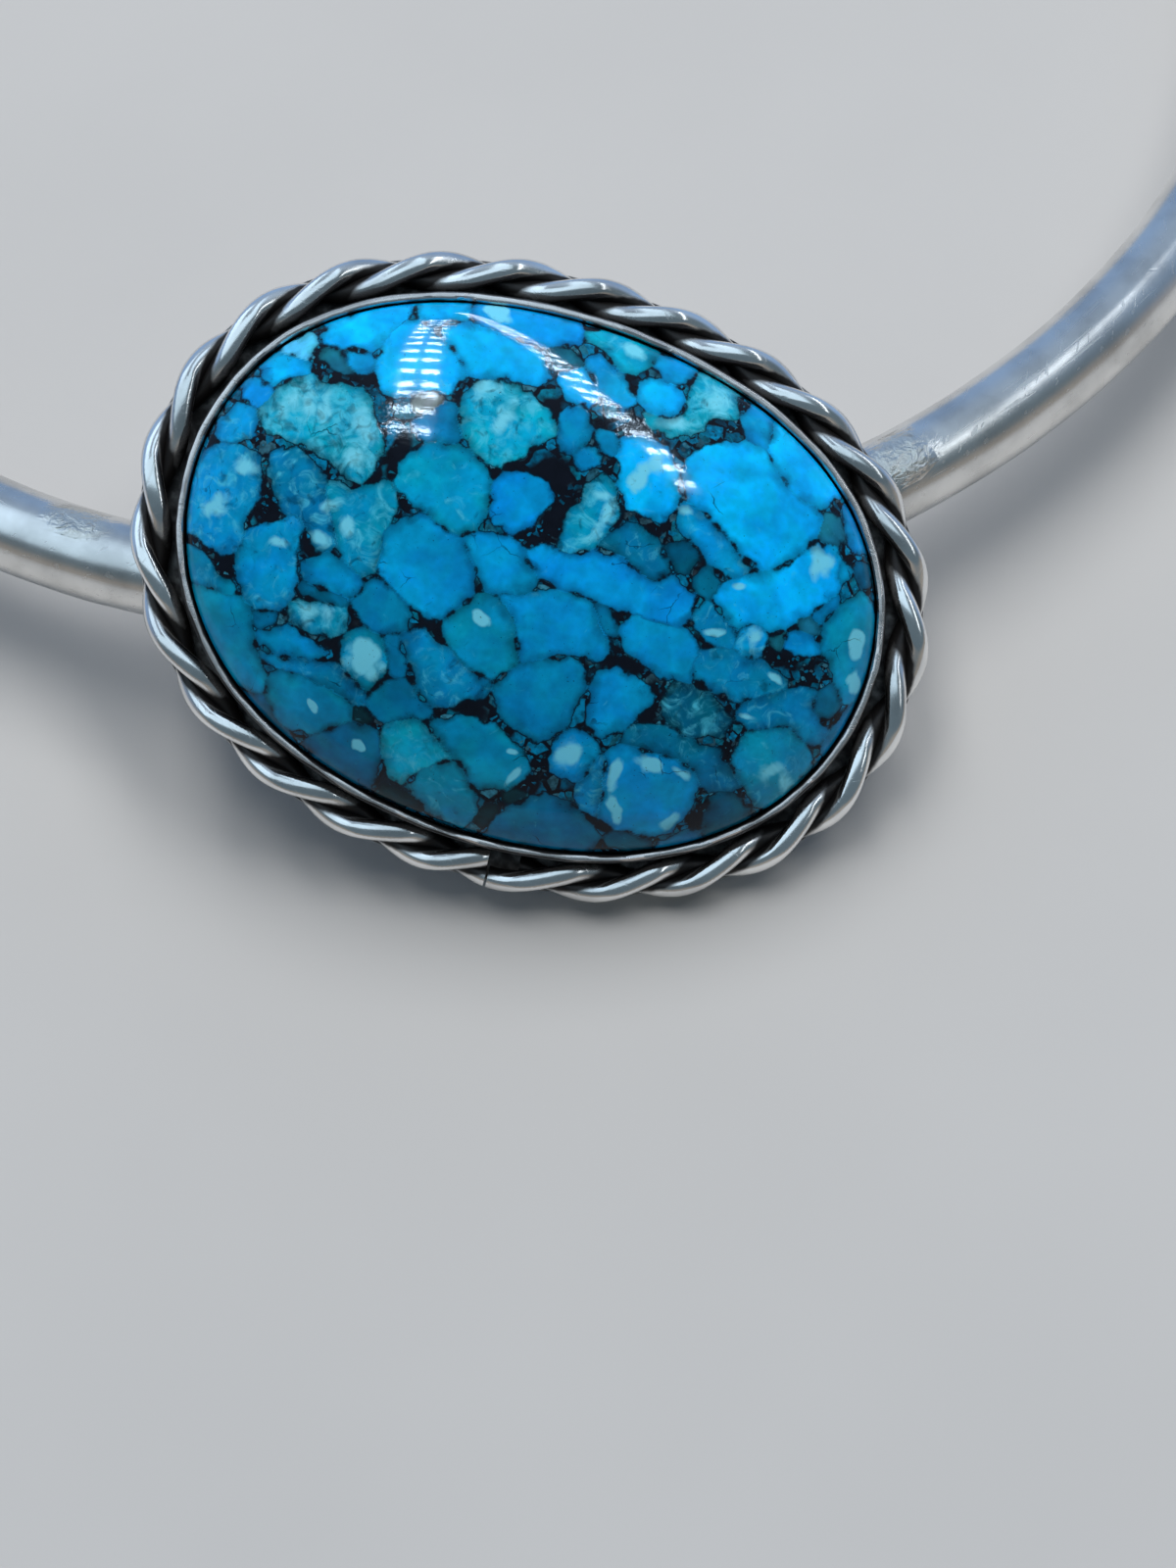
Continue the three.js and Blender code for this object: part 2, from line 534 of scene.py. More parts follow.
def new_group(
    name: str, inputs: dict[str, str], outputs: dict[str, str]
) -> tuple[Nodes, dict[str, Socket], dict[str, Socket]]:
    """Makes an empty shader node group.

    Args:
        name: The group's name.
        inputs: The kind of each input socket, Float, Vector or Color, by name.
        outputs: The same for each output socket.

    Returns:
        Its nodes, the sockets that bring its inputs, and the sockets that take its outputs.
    """
    tree = bpy.data.node_groups.new(name, "ShaderNodeTree")
    for way, sockets in (("INPUT", inputs), ("OUTPUT", outputs)):
        for socket, kind in sockets.items():
            tree.interface.new_socket(socket, in_out=way, socket_type=f"NodeSocket{kind}")
    source = tree.nodes.new("NodeGroupInput")
    result = tree.nodes.new("NodeGroupOutput")
    return Nodes(tree), source.outputs, result.inputs


def srgb(red: int, green: int, blue: int) -> Colour:
    """A colour in linear light from its usual 0 to 255 numbers."""
    shares = (red / 255, green / 255, blue / 255)
    return tuple(c / 12.92 if c <= 0.04045 else ((c + 0.055) / 1.055) ** 2.4 for c in shares)


# ---- Finishes ----


@dataclass
class SilverEffects:
    """The node groups that every silver finish shares. Heights are in units of a finish's scratch depth."""

    hairs: Waves = Waves(5.0, 3, swirl=0.4)
    hair_height: float = 0.35
    bold_scratches: Tone = Tone(Waves(1.7, 2, swirl=0.8), 0.64, 0.7)
    cross_scratches: Tone = Tone(Waves(1.0, 1), 0.68, 0.71)
    cross_turn: float = 0.7
    cross_stretch: Triple = (0.35, 3.0, 3.0)
    scratch_height: float = -0.5
    dings: Tone = Tone(Waves(0.9, 2), 0.7, 0.78)
    ding_height: float = -1.2
    clouds: Waves = Waves(0.28, 4)
    # Oxide with painted shade: its grain, and the depths over which it sets in.
    oxide_grain: Waves = Waves(1.3, 4)
    grain_depth: float = 0.5
    oxide_and_shade_from: Range = (0.55, 1.1)
    wear: bpy.types.NodeTree = field(init=False)
    oxide_and_shade: bpy.types.NodeTree = field(init=False)

    def __post_init__(self) -> None:
        """Builds both groups."""
        self.wear = self.make_wear()
        self.oxide_and_shade = self.make_oxide_and_shade()

    def make_wear(self) -> bpy.types.NodeTree:
        """Hairline scratches that run mostly along the first axis, small dings, and a cloudy polish.

        Returns:
            The group. It takes a place in millimetres, and gives a height, a scratch mask and a cloudy mask.
        """
        nodes, given, result = new_group(
            "Silver wear",
            {"Place": "Vector", "Stretch": "Float"},
            {"Height": "Float", "Scratch": "Float", "Cloud": "Float"},
        )
        place = given["Place"]
        squeeze = nodes.maths("DIVIDE", 1.0, given["Stretch"])
        shrink = nodes.add("CombineXYZ", {0: squeeze, 1: 1.0, 2: 1.0}).outputs[0]
        along = nodes.vectors("MULTIPLY", place, shrink)
        across = nodes.vectors("MULTIPLY", nodes.turned(place, self.cross_turn), self.cross_stretch)
        bold = self.bold_scratches.over(nodes, along)
        scratch = nodes.maths("MAXIMUM", bold, self.cross_scratches.over(nodes, across))
        height = nodes.product(scratch, self.scratch_height)
        height = nodes.line(self.hairs.over(nodes, along), self.hair_height, height)
        height = nodes.line(self.dings.over(nodes, place), self.ding_height, height)
        nodes.feed(result["Height"], height)
        nodes.feed(result["Scratch"], scratch)
        nodes.feed(result["Cloud"], self.clouds.over(nodes, place))
        return nodes.tree

    def make_oxide_and_shade(self) -> bpy.types.NodeTree:
        """Black oxide with painted shade that lies in the recesses, rubbed off what stands proud.

        Returns:
            The group. It takes a place in millimetres and how deep it lies in oxide and painted shade, and
            gives a mask.
        """
        nodes, given, result = new_group(
            "Oxide and painted shade in the recesses", {"Place": "Vector", "Recess": "Float"}, {"Mask": "Float"}
        )
        grain = self.oxide_grain.over(nodes, given["Place"])
        depth = nodes.line(grain, self.grain_depth, given["Recess"])
        nodes.feed(result["Mask"], nodes.between(depth, *self.oxide_and_shade_from))
        return nodes.tree


@dataclass(frozen=True)
class Silver:
    """A silver finish, by how bright, how smooth and how scratched it is, and by its oxide and painted shade.
    """

    name: str
    effects: SilverEffects
    colour: Colour = (0.84, 0.83, 0.81)
    dulling: float = 0.72
    dull_from: Range = (0.35, 0.75)
    roughness: float = 0.24
    cloudiness: float = 0.1
    stretch: float = 14
    scratch_depth: float = 0.004
    scratch_blur: float = 0.08
    # The colour of the oxide, which also stands for painted shade.
    oxide_and_shade: Colour = (0.034, 0.031, 0.030)
    oxide_blur: float = 0.22
    oxide_cover: float = 0.25
    flooded_colour: Colour = (0.78, 0.75, 0.68)
    flooded_share: float = 0.75
    flooded_blur: float = 0.06
    sand: Waves = Waves(3.6, 3)
    sand_height: float = 14.0
    folds: Waves = Waves(0.9, 3, swirl=1.5)
    fold_height: float = 40.0

    def material(self) -> bpy.types.Material:
        """Builds the material. It reads the mesh's own place, its depth in oxide and painted shade, and its
        flooding.

        Returns:
            The material.
        """
        material, nodes, shader = new_material(self.name)
        place = nodes.vector("own")
        flooded = nodes.number("flooded")
        given = {"Place": place, "Stretch": self.stretch}
        wear = nodes.add("Group", given, node_tree=self.effects.wear).outputs
        given = {"Place": place, "Recess": nodes.number("recess")}
        mask = nodes.add("Group", given, node_tree=self.effects.oxide_and_shade).outputs[0]
        dull = tuple(self.dulling * c for c in self.colour)
        bright = nodes.blend(nodes.between(wear["Cloud"], *self.dull_from), self.colour, dull)
        grey = nodes.blend(nodes.product(flooded, self.flooded_share), bright, self.flooded_colour)
        # Oxide and painted shade darken the recesses and the sheltered sides.
        nodes.feed(shader["Base Color"], nodes.blend(mask, grey, self.oxide_and_shade))
        nodes.feed(shader["Metallic"], nodes.line(mask, -self.oxide_cover, 1.0))
        rough = self.roughness - self.cloudiness / 2
        blurs = (
            (wear["Cloud"], self.cloudiness),
            (wear["Scratch"], self.scratch_blur),
            (flooded, self.flooded_blur),
            (mask, self.oxide_blur),
        )
        for where, blur in blurs:
            rough = nodes.line(where, blur, rough)
        nodes.feed(shader["Roughness"], rough)
        sand = nodes.product(self.sand.over(nodes, place), self.sand_height)
        folds = nodes.product(self.folds.over(nodes, place), self.fold_height)
        worked = nodes.product(nodes.maths("ADD", sand, folds), flooded)
        height = nodes.maths("ADD", wear["Height"], worked)
        nodes.feed(shader["Normal"], nodes.bumped(height, self.scratch_depth))
        return material


@dataclass(frozen=True)
class Crumbs:
    """Small bits of stone in the matrix.

    Given are how many fit in a millimetre, what share of them shows, how sparsely they gather, how clear
    they keep of the chips, a shift of the pattern, and whether they lie in the dark pockets too.
    """

    scale: float
    share: float
    sparse: float
    clear: float
    seed: float
    in_pockets: bool = False


@dataclass(frozen=True)
class CompositeTurquoise:
    """Chips of turquoise set close in a black matrix, cut as one dome and highly polished.

    The outlines of the chips, and of their pale patches, are made ragged, frayed and faceted. Heights are
    in units of the pit depth.
    """

    name: str = "composite_turquoise"
    matrix: Colour = (0.002, 0.003, 0.006)
    matrix_light: float = 2.5
    joint: Colour = srgb(2, 26, 40)
    joint_from: Range = (-0.22, 0.0)
    vein: Colour = srgb(70, 182, 208)
    pale: Colour = srgb(112, 202, 222)
    crumb_tints: tuple[Colour, ...] = (
        srgb(0, 66, 92),
        srgb(0, 92, 126),
        srgb(0, 124, 168),
        srgb(0, 76, 104),
        srgb(0, 110, 136),
        srgb(40, 48, 56),
        srgb(50, 128, 152),
    )
    crumbs: tuple[Crumbs, ...] = (
        Crumbs(scale=0.75, share=0.8, sparse=0.4, clear=0.07, seed=3),
        Crumbs(scale=1.6, share=0.42, sparse=0.42, clear=0.05, seed=17),
        Crumbs(scale=4.2, share=0.22, sparse=0.45, clear=0.02, seed=29, in_pockets=True),
    )
    crumb_gap: Range = (0.07, 0.13)
    crumb_choice: float = 0.02
    crumb_thinning: float = 0.08
    crumb_clearing: float = 0.05
    crumb_gathering: Waves = Waves(0.3, 2)
    crumb_grain: Tone = Tone(Waves(2.8, 4), 0.3, 0.7, 0.45, 1.25)
    crumb_drift: float = 0.9
    pocket_edge: Waves = Waves(0.9, 3)
    pocket_raggedness: float = 0.5
    pocket_from: Range = (0.6, 0.85)
    matrix_clouds: Waves = Waves(1.2, 4)
    ragged: Waves = Waves(1.1, 5, roughness=0.62)
    ragged_reach: float = 0.35
    fray: Waves = Waves(4.2, 4)
    fray_reach: float = 0.07
    drift: Waves = Waves(0.6, 4)
    facet_scale: float = 0.9
    facet_depth: float = 0.5
    facet_middle: float = 0.45
    edge_softness: float = 0.07
    broad_clouds: Tone = Tone(Waves(0.32, 3, swirl=0.6), 0.3, 0.7, 0.78, 1.16)
    fine_clouds: Tone = Tone(Waves(1.6, 4), 0.25, 0.75, 0.88, 1.1)
    hue_clouds: Tone = Tone(Waves(0.5, 3), 0.35, 0.65)
    bluer: Triple = (1.0, 0.97, 1.0)
    greener: Triple = (1.0, 1.1, 0.93)
    veins: Waves = Waves(0.85, 5, swirl=1.4, roughness=0.62)
    vein_mottle: float = 0.42
    vein_from: Range = (0.66, 1.0)
    vein_most: float = 0.9
    pale_most: float = 0.85
    patch_reach: Range = (0.16, 1.1)
    patch_softness: Range = (0.07, 0.45)
    murk: Waves = Waves(1.1, 5, swirl=0.8)
    murk_mottle: float = 0.3
    murk_from: Range = (0.7, 0.9)
    murk_shade: float = 0.45
    rim_depth: Tone = Tone(Waves(0.35, 2), 0.35, 0.65, 0.22, 0.88)
    rim_from: Range = (-0.3, 1.0)
    rim_shades: Range = (0.36, 1.04)
    dots: Tone = Tone(Waves(5.5, 2), 0.24, 0.29, 0.25, 1.0)
    cracked: Tone = Tone(Waves(0.3, 1), 0.62, 0.7)
    crack_scale: float = 0.32
    crack_width: Range = (0.004, 0.012)
    crack_drift: float = 1.3
    crack_shade: float = 0.7
    pit_depth: float = 0.012
    grit: Waves = Waves(2.4, 2)
    grit_height: float = 0.4
    chip_edge: Range = (-0.1, 0.12)
    chip_height: float = 0.3
    grain_turn: float = math.radians(-19)
    grain_stretch: Triple = (0.8, 2.6, 1.0)
    grain_marks: Tone = Tone(Waves(1.0, 1, swirl=0.5), 0.36, 0.64)
    mark_height: float = 0.05
    polish: float = 0.05
    matrix_blur: float = 0.015
    refraction: float = 1.3

    def material(self) -> bpy.types.Material:
        """Builds the material from the chart that the stone's mesh carries.

        Returns:
            The material.
        """
        material, nodes, shader = new_material(self.name)
        place = nodes.vector("own")
        ragged = self.ragged.either_way(nodes, place, self.ragged_reach)
        fray = self.fray.either_way(nodes, place, self.fray_reach)
        charted = nodes.maths("ADD", nodes.number("edge"), self.faceted(nodes, place))
        edge = nodes.maths("ADD", charted, nodes.maths("ADD", ragged, fray))
        chip = nodes.between(edge, -self.edge_softness, self.edge_softness)
        colours = self.matrix_colour(nodes, place, edge), self.chip_colour(nodes, place, edge)
        nodes.feed(shader["Base Color"], nodes.blend(chip, *colours))
        rough = nodes.line(chip, -self.matrix_blur, self.polish + self.matrix_blur)
        nodes.feed(shader["Roughness"], rough)
        grit = nodes.product(self.grit.over(nodes, place), nodes.maths("SUBTRACT", 1.0, chip))
        step = nodes.between(edge, *self.chip_edge, 0.0, self.chip_height)
        height = nodes.line(grit, self.grit_height, step)
        combed = nodes.vectors("MULTIPLY", nodes.turned(place, self.grain_turn), self.grain_stretch)
        marks = self.grain_marks.over(nodes, combed)
        height = nodes.line(marks, self.mark_height, height)
        nodes.feed(shader["Normal"], nodes.bumped(height, self.pit_depth))
        shader["IOR"].default_value = self.refraction
        return material

    def faceted(self, nodes: Nodes, place: object) -> Socket:
        """A part of a millimetre to and fro, in a few steps to a chip, for outlines that look broken."""
        distance = nodes.cells(place, self.facet_scale).outputs["Distance"]
        return nodes.line(distance, self.facet_depth, -self.facet_middle * self.facet_depth)

    def chip_colour(self, nodes: Nodes, place: object, edge: object) -> Socket:
        """The colour inside a chip: its own tint, with clouds, pale veining, dots, cracks and a darker rim.

        Args:
            nodes: The material's nodes.
            place: The stone's own place, in millimetres.
            edge: How far inside a chip the place lies, in millimetres.

        Returns:
            The colour.
        """
        mottle = nodes.number("mottle")
        seed = nodes.number("seed")
        shift = nodes.add("CombineXYZ", {0: seed, 1: seed, 2: seed}).outputs[0]
        own = nodes.vectors("ADD", place, shift)
        murk = nodes.line(mottle, self.murk_mottle, self.murk.over(nodes, own))
        dusk = nodes.between(murk, *self.murk_from, 1.0, self.murk_shade)
        share_in = nodes.maths("DIVIDE", edge, self.rim_depth.over(nodes, own))
        rim = nodes.between(share_in, *self.rim_from, *self.rim_shades)
        dots = self.dots.over(nodes, place)
        clear = nodes.product(dots, self.cracks(nodes, own))
        shade = nodes.product(nodes.product(dusk, rim), clear)
        return nodes.scaled(self.chip_body(nodes, own, mottle), shade)

    def chip_body(self, nodes: Nodes, own: object, mottle: object) -> Socket:
        """A chip's tint with its clouds, its pale veins and its pale patches.

        Args:
            nodes: The material's nodes.
            own: The stone's place, shifted by the chip's seed.
            mottle: How mottled the chip is.

        Returns:
            The colour.
        """
        tint = nodes.vector("tint")
        hues = (nodes.vectors("MULTIPLY", tint, hue) for hue in (self.bluer, self.greener))
        hue = nodes.blend(self.hue_clouds.over(nodes, own), *hues)
        light = nodes.product(self.broad_clouds.over(nodes, own), self.fine_clouds.over(nodes, own))
        clouded = nodes.scaled(hue, light)
        veins = self.veins.over(nodes, own)
        level = nodes.line(mottle, self.vein_mottle, veins)
        veined = nodes.blend(nodes.between(level, *self.vein_from, 0.0, self.vein_most), clouded, self.vein)
        plain, mottled = self.patch_reach
        reach = nodes.line(mottle, mottled, plain)
        wander = nodes.product(nodes.maths("SUBTRACT", veins, 0.5), reach)
        outline = nodes.maths("SUBTRACT", wander, self.faceted(nodes, own))
        patch = nodes.maths("ADD", nodes.maths("SUBTRACT", nodes.number("pale"), 0.5), outline)
        plain, mottled = self.patch_softness
        softness = nodes.line(mottle, mottled, plain)
        amount = nodes.between(nodes.maths("DIVIDE", patch, softness), -1.0, 1.0, 0.0, self.pale_most)
        return nodes.blend(amount, veined, self.pale)

    def cracks(self, nodes: Nodes, own: object) -> Socket:
        """Fine dark cracks here and there: 1 where the chip is whole, and less in a crack.

        Args:
            nodes: The material's nodes.
            own: The stone's place, shifted by the chip's seed.

        Returns:
            The share of light that is left.
        """
        wandering = self.drift.moved(nodes, own, self.crack_drift)
        lines = nodes.cells(wandering, self.crack_scale, "DISTANCE_TO_EDGE")
        near = nodes.between(lines.outputs["Distance"], *self.crack_width, 1.0, 0.0)
        crack = nodes.product(near, self.cracked.over(nodes, own))
        return nodes.line(crack, -self.crack_shade, 1.0)

    def matrix_colour(self, nodes: Nodes, place: object, edge: object) -> Socket:
        """The colour of the matrix: near black, with crumbs of stone, fewer of them in the dark pockets.

        Args:
            nodes: The material's nodes.
            place: The stone's own place, in millimetres.
            edge: How far inside a chip the place lies, below 0 in the matrix.

        Returns:
            The colour.
        """
        lighter = tuple(self.matrix_light * c for c in self.matrix)
        black = nodes.blend(self.matrix_clouds.over(nodes, place), self.matrix, lighter)
        colour = nodes.blend(nodes.between(edge, *self.joint_from), black, self.joint)
        ragged = self.pocket_edge.over(nodes, place)
        pocket = nodes.line(ragged, self.pocket_raggedness, nodes.number("pocket"))
        out_of_pockets = nodes.between(pocket, *self.pocket_from, 1.0, 0.0)
        for crumbs in self.crumbs:
            moved = nodes.vectors("ADD", place, (crumbs.seed, 0.0, 0.0))
            wandering = self.drift.moved(nodes, moved, self.crumb_drift)
            cells = nodes.cells(wandering, crumbs.scale)
            borders = nodes.cells(wandering, crumbs.scale, "DISTANCE_TO_EDGE")
            random = nodes.add("SeparateColor", {0: cells.outputs["Color"]}).outputs
            cutoff = 1 - crumbs.share
            chosen = nodes.between(random[0], cutoff, cutoff + self.crumb_choice)
            body = nodes.between(borders.outputs["Distance"], *self.crumb_gap)
            gathering = self.crumb_gathering.over(nodes, moved)
            cluster = nodes.between(gathering, crumbs.sparse, crumbs.sparse + self.crumb_thinning)
            free = nodes.between(edge, -crumbs.clear - self.crumb_clearing, -crumbs.clear, 1.0, 0.0)
            amount = nodes.product(nodes.product(chosen, nodes.product(body, free)), cluster)
            if not crumbs.in_pockets:
                amount = nodes.product(amount, out_of_pockets)
            grain = self.crumb_grain.over(nodes, moved)
            colour = nodes.blend(amount, colour, nodes.scaled(self.crumb_colours(nodes, random[1]), grain))
        return colour

    def crumb_colours(self, nodes: Nodes, random: object) -> Socket:
        """Spreads a random number over the crumbs' colours: blues and teals mostly, with a grey.

        Args:
            nodes: The material's nodes.
            random: The random number.

        Returns:
            The colour.
        """
        ramp = nodes.add("ValToRGB", {0: random})
        while len(ramp.color_ramp.elements) < len(self.crumb_tints):
            ramp.color_ramp.elements.new(0.5)
        last = len(self.crumb_tints) - 1
        for number, (element, crumb) in enumerate(zip(ramp.color_ramp.elements, self.crumb_tints)):
            element.position = number / last
            element.color = (*crumb, 1)
        return ramp.outputs[0]


@dataclass(frozen=True)
class PaleFloor:
    """A plain, pale, matt floor."""

    name: str = "pale_floor"
    colour: Colour = (0.50, 0.485, 0.465)
    lightening: float = 1.03
    clouds: Tone = Tone(Waves(30.0, 3), 0.3, 0.7)
    roughness: float = 0.6

    def material(self) -> bpy.types.Material:
        """Builds the material."""
        material, nodes, shader = new_material(self.name)
        place = nodes.add("TexCoord").outputs["Object"]
        lighter = tuple(self.lightening * c for c in self.colour)
        nodes.feed(shader["Base Color"], nodes.blend(self.clouds.over(nodes, place), self.colour, lighter))
        shader["Roughness"].default_value = self.roughness
        return material


# ---- Parts ----


@dataclass
class Part(ABC):
    """A part of the choker, modelled in the setting's frame unless it says otherwise."""

    assembly: Assembly
    finish: Silver | CompositeTurquoise

    @abstractmethod
    def build(self) -> list[Piece]:
        """Models the part's pieces in its own frame, as closed meshes."""

    def place(self) -> Matrix:
        """From the part's own frame to the choker's."""
        return self.assembly.setting()

    def make(self, slot: str) -> list[Piece]:
        """Builds, places and finishes the part's pieces.

        Args:
            slot: Not used.

        Returns:
            The pieces.
        """
        pieces = self.build()
        finish = self.finish.material()
        for piece in pieces:
            finish_piece(piece, self.place(), finish)
        return pieces


def oval_strip(name: str, oval: Oval, sides: int, profile: Sequence[Point], solid: bool) -> Piece:
    """Carries an oval outline through a profile, each step an extrusion, a lift and a resize.

    Args:
        name: The piece's name.
        oval: The outline.
        sides: How many points it has.
        profile: Insets from the outline and heights, in order, in millimetres.
        solid: True closes the first and last loops with a face each; False joins them to each other.

    Returns:
        The closed mesh, in the setting's frame.
    """
    bpy.ops.mesh.primitive_circle_add(vertices=sides, radius=1, fill_type="NOTHING")
    piece = new_piece(name)
    inset, height = profile[0]
    turns = np.arctan2(places(piece)[:, 1], places(piece)[:, 0])
    set_places(piece, np.array([(*oval.point(turn, inset), height) for turn in turns]))
    with editing(piece):
        bpy.ops.mesh.select_all(action="SELECT")
        for next_inset, next_height in profile[1:]:
            extrude((0, 0, next_height - height))
            longer = (oval.half_length - next_inset) / (oval.half_length - inset)
            wider = (oval.half_width - next_inset) / (oval.half_width - inset)
            bpy.ops.transform.resize(value=(longer, wider, 1), center_override=(0, 0, next_height))
            inset, height = next_inset, next_height
        if solid:
            close_ends()
        else:
            pick_open_edges()
            bpy.ops.mesh.bridge_edge_loops()
    return piece


@dataclass(frozen=True)
class WorkedPatch:
    """A roughened patch of the wire: its place and half length along it, and round it in degrees."""

    middle: float
    half_length: float
    top: float
    half_sweep: float


@dataclass
class CollarWire(Part):
    """The round collar wire, bent to a circle that is open at the back, with rounded tips."""

    back_opening: float = 50
    sides: int = 64
    steps: int = 420
    tip_steps: int = 12
    hand: float = 0.035
    hammering: tuple[Ripple, ...] = (Ripple(1, 7, 1.5), Ripple(0.4, 2.5, 8.5))
    patches: tuple[WorkedPatch, ...] = (WorkedPatch(-29.9, 2.2, 104, 30), WorkedPatch(25.3, 1.9, 82, 40))
    patch_edge: Range = (1.15, 0.7)

    @property
    def half_angle(self) -> float:
        """The angle from the front of the collar to the start of either tip."""
        return math.pi - math.asin(self.back_opening / 2 / self.assembly.collar_radius)

    def centre(self, angle: float) -> Vector:
        """A point of the wire's centre line, in the collar's frame."""
        radius = self.assembly.collar_radius
        return Vector((radius * math.sin(angle), -radius * math.cos(angle), 0))

    def place(self) -> Matrix:
        """From the collar's frame to the choker's."""
        return self.assembly.collar()

    def build(self) -> list[Piece]:
        """Spins a round section about the collar's axis, and rounds both ends.

        Returns:
            The closed mesh, in the collar's frame.
        """
        start = -self.half_angle
        radius = self.assembly.wire_radius
        wire = new_section("collar_wire", self.sides, radius, self.centre(start), start)
        with editing(wire):
            spin_round(self.steps, self.half_angle)
        for end in (-1, 1):
            self.round_tip(wire, end)
        self.mark(wire)
        self.planish(wire)
        return [wire]

    def round_tip(self, wire: Piece, end: int) -> None:
        """Extrudes one open end into a half ball.

        Args:
            wire: The spun wire.
            end: -1 for its first tip and 1 for its last.
        """
        full = self.assembly.wire_radius
        angle = end * self.half_angle
        centre = self.centre(angle)
        ahead = Vector((math.cos(angle), math.sin(angle), 0)) * end

        def on_end(corner: Vector) -> bool:
            """True for the corners of the open end."""
            away = corner - centre
            return away.length < full + NEAR and abs(away.dot(ahead)) < NEAR

        with editing(wire) as live:
            pick(wire, live, on_end)
            reach, radius = 0.0, full
            for step in range(1, self.tip_steps):
                lift = math.radians(90 * step / self.tip_steps)
                next_reach = full * math.sin(lift)
                next_radius = full * math.cos(lift)
                extrude(ahead * (next_reach - reach))
                shrink = (next_radius / radius,) * 3
                bpy.ops.transform.resize(value=shrink, center_override=centre + ahead * next_reach)
                reach, radius = next_reach, next_radius
            extrude(ahead * (full - reach))
            bpy.ops.mesh.merge(type="CENTER")

    def mark(self, wire: Piece) -> None:
        """Keeps the place along the straightened wire, and where its surface is worked.

        Args:
            wire: The finished wire.
        """
        rows = places(wire)
        out = np.hypot(rows[:, 0], rows[:, 1]) - self.assembly.collar_radius
        along = collar_angle(rows) * self.assembly.collar_radius
        turn = np.degrees(np.arctan2(rows[:, 2], out))
        worked = np.zeros(len(rows))
        for patch in self.patches:
            away = np.hypot((along - patch.middle) / patch.half_length, (turn - patch.top) / patch.half_sweep)
            worked = np.maximum(worked, smoothstep(*self.patch_edge, away))
        store_for_silver(wire, np.column_stack([along, out, rows[:, 2]]), flooded=worked)

    def planish(self, wire: Piece) -> None:
        """Gives the wire the slight waviness of a hammer's work.

        Args:
            wire: The finished wire.
        """
        rows = places(wire)
        centres = np.array([self.centre(angle) for angle in collar_angle(rows)])
        swell = self.hand * sum(ripple.over(rows) for ripple in self.hammering)
        set_places(wire, rows + (rows - centres) / self.assembly.wire_radius * swell[:, None])


@dataclass
class BackPlate(Part):
    """The oval sheet that carries the bezel and the twisted border, soldered on the wire."""

    oval: Oval = Oval(25.45, 19.25)
    thickness: float = 1
    rounding: float = 0.18
    easing: float = 0.3
    rings: tuple[float, ...] = (2.5, 5)
    sides: int = 240
    filing: Ripple = Ripple(0.05, 4, 3.1)
    filed_from: Range = (0.9, 1)
    oxide_and_shade: float = 0.75
    oxide_and_shade_from: Range = (0.6, 1)

    def build(self) -> list[Piece]:
        """Raises the sheet from its outline, and rounds its rim.

        Returns:
            The closed mesh, in the setting's frame.
        """
        soft, thick = self.rounding, self.thickness
        eased = self.easing * soft
        lower = ((soft, 0), (eased, eased), (0, soft))
        upper = ((0, thick - soft), (eased, thick - eased), (soft, thick))
        plate = oval_strip("back_plate", self.oval, self.sides, lower + upper, solid=True)
        with editing(plate) as live:
            for face in live.faces:
                face.select_set(len(face.verts) == self.sides)
            bmesh.update_edit_mesh(plate.data)
            for ring in self.rings:
                bpy.ops.mesh.inset(thickness=ring)
        rows = places(plate)
        share_out = np.hypot(rows[:, 0] / self.oval.half_length, rows[:, 1] / self.oval.half_width)
        waver = np.abs(self.filing.over(rows)) * smoothstep(*self.filed_from, share_out)
        rows = rows - outward(rows * (1, 1, 0)) * waver[:, None]
        set_places(plate, rows)
        # The plate's top face and upper rim are darkened, under and between the bezel and the border: oxide
        # with painted shade.
        store_for_silver(plate, rows, recess=self.oxide_and_shade * smoothstep(*self.oxide_and_shade_from, rows[:, 2]))
        return [plate]


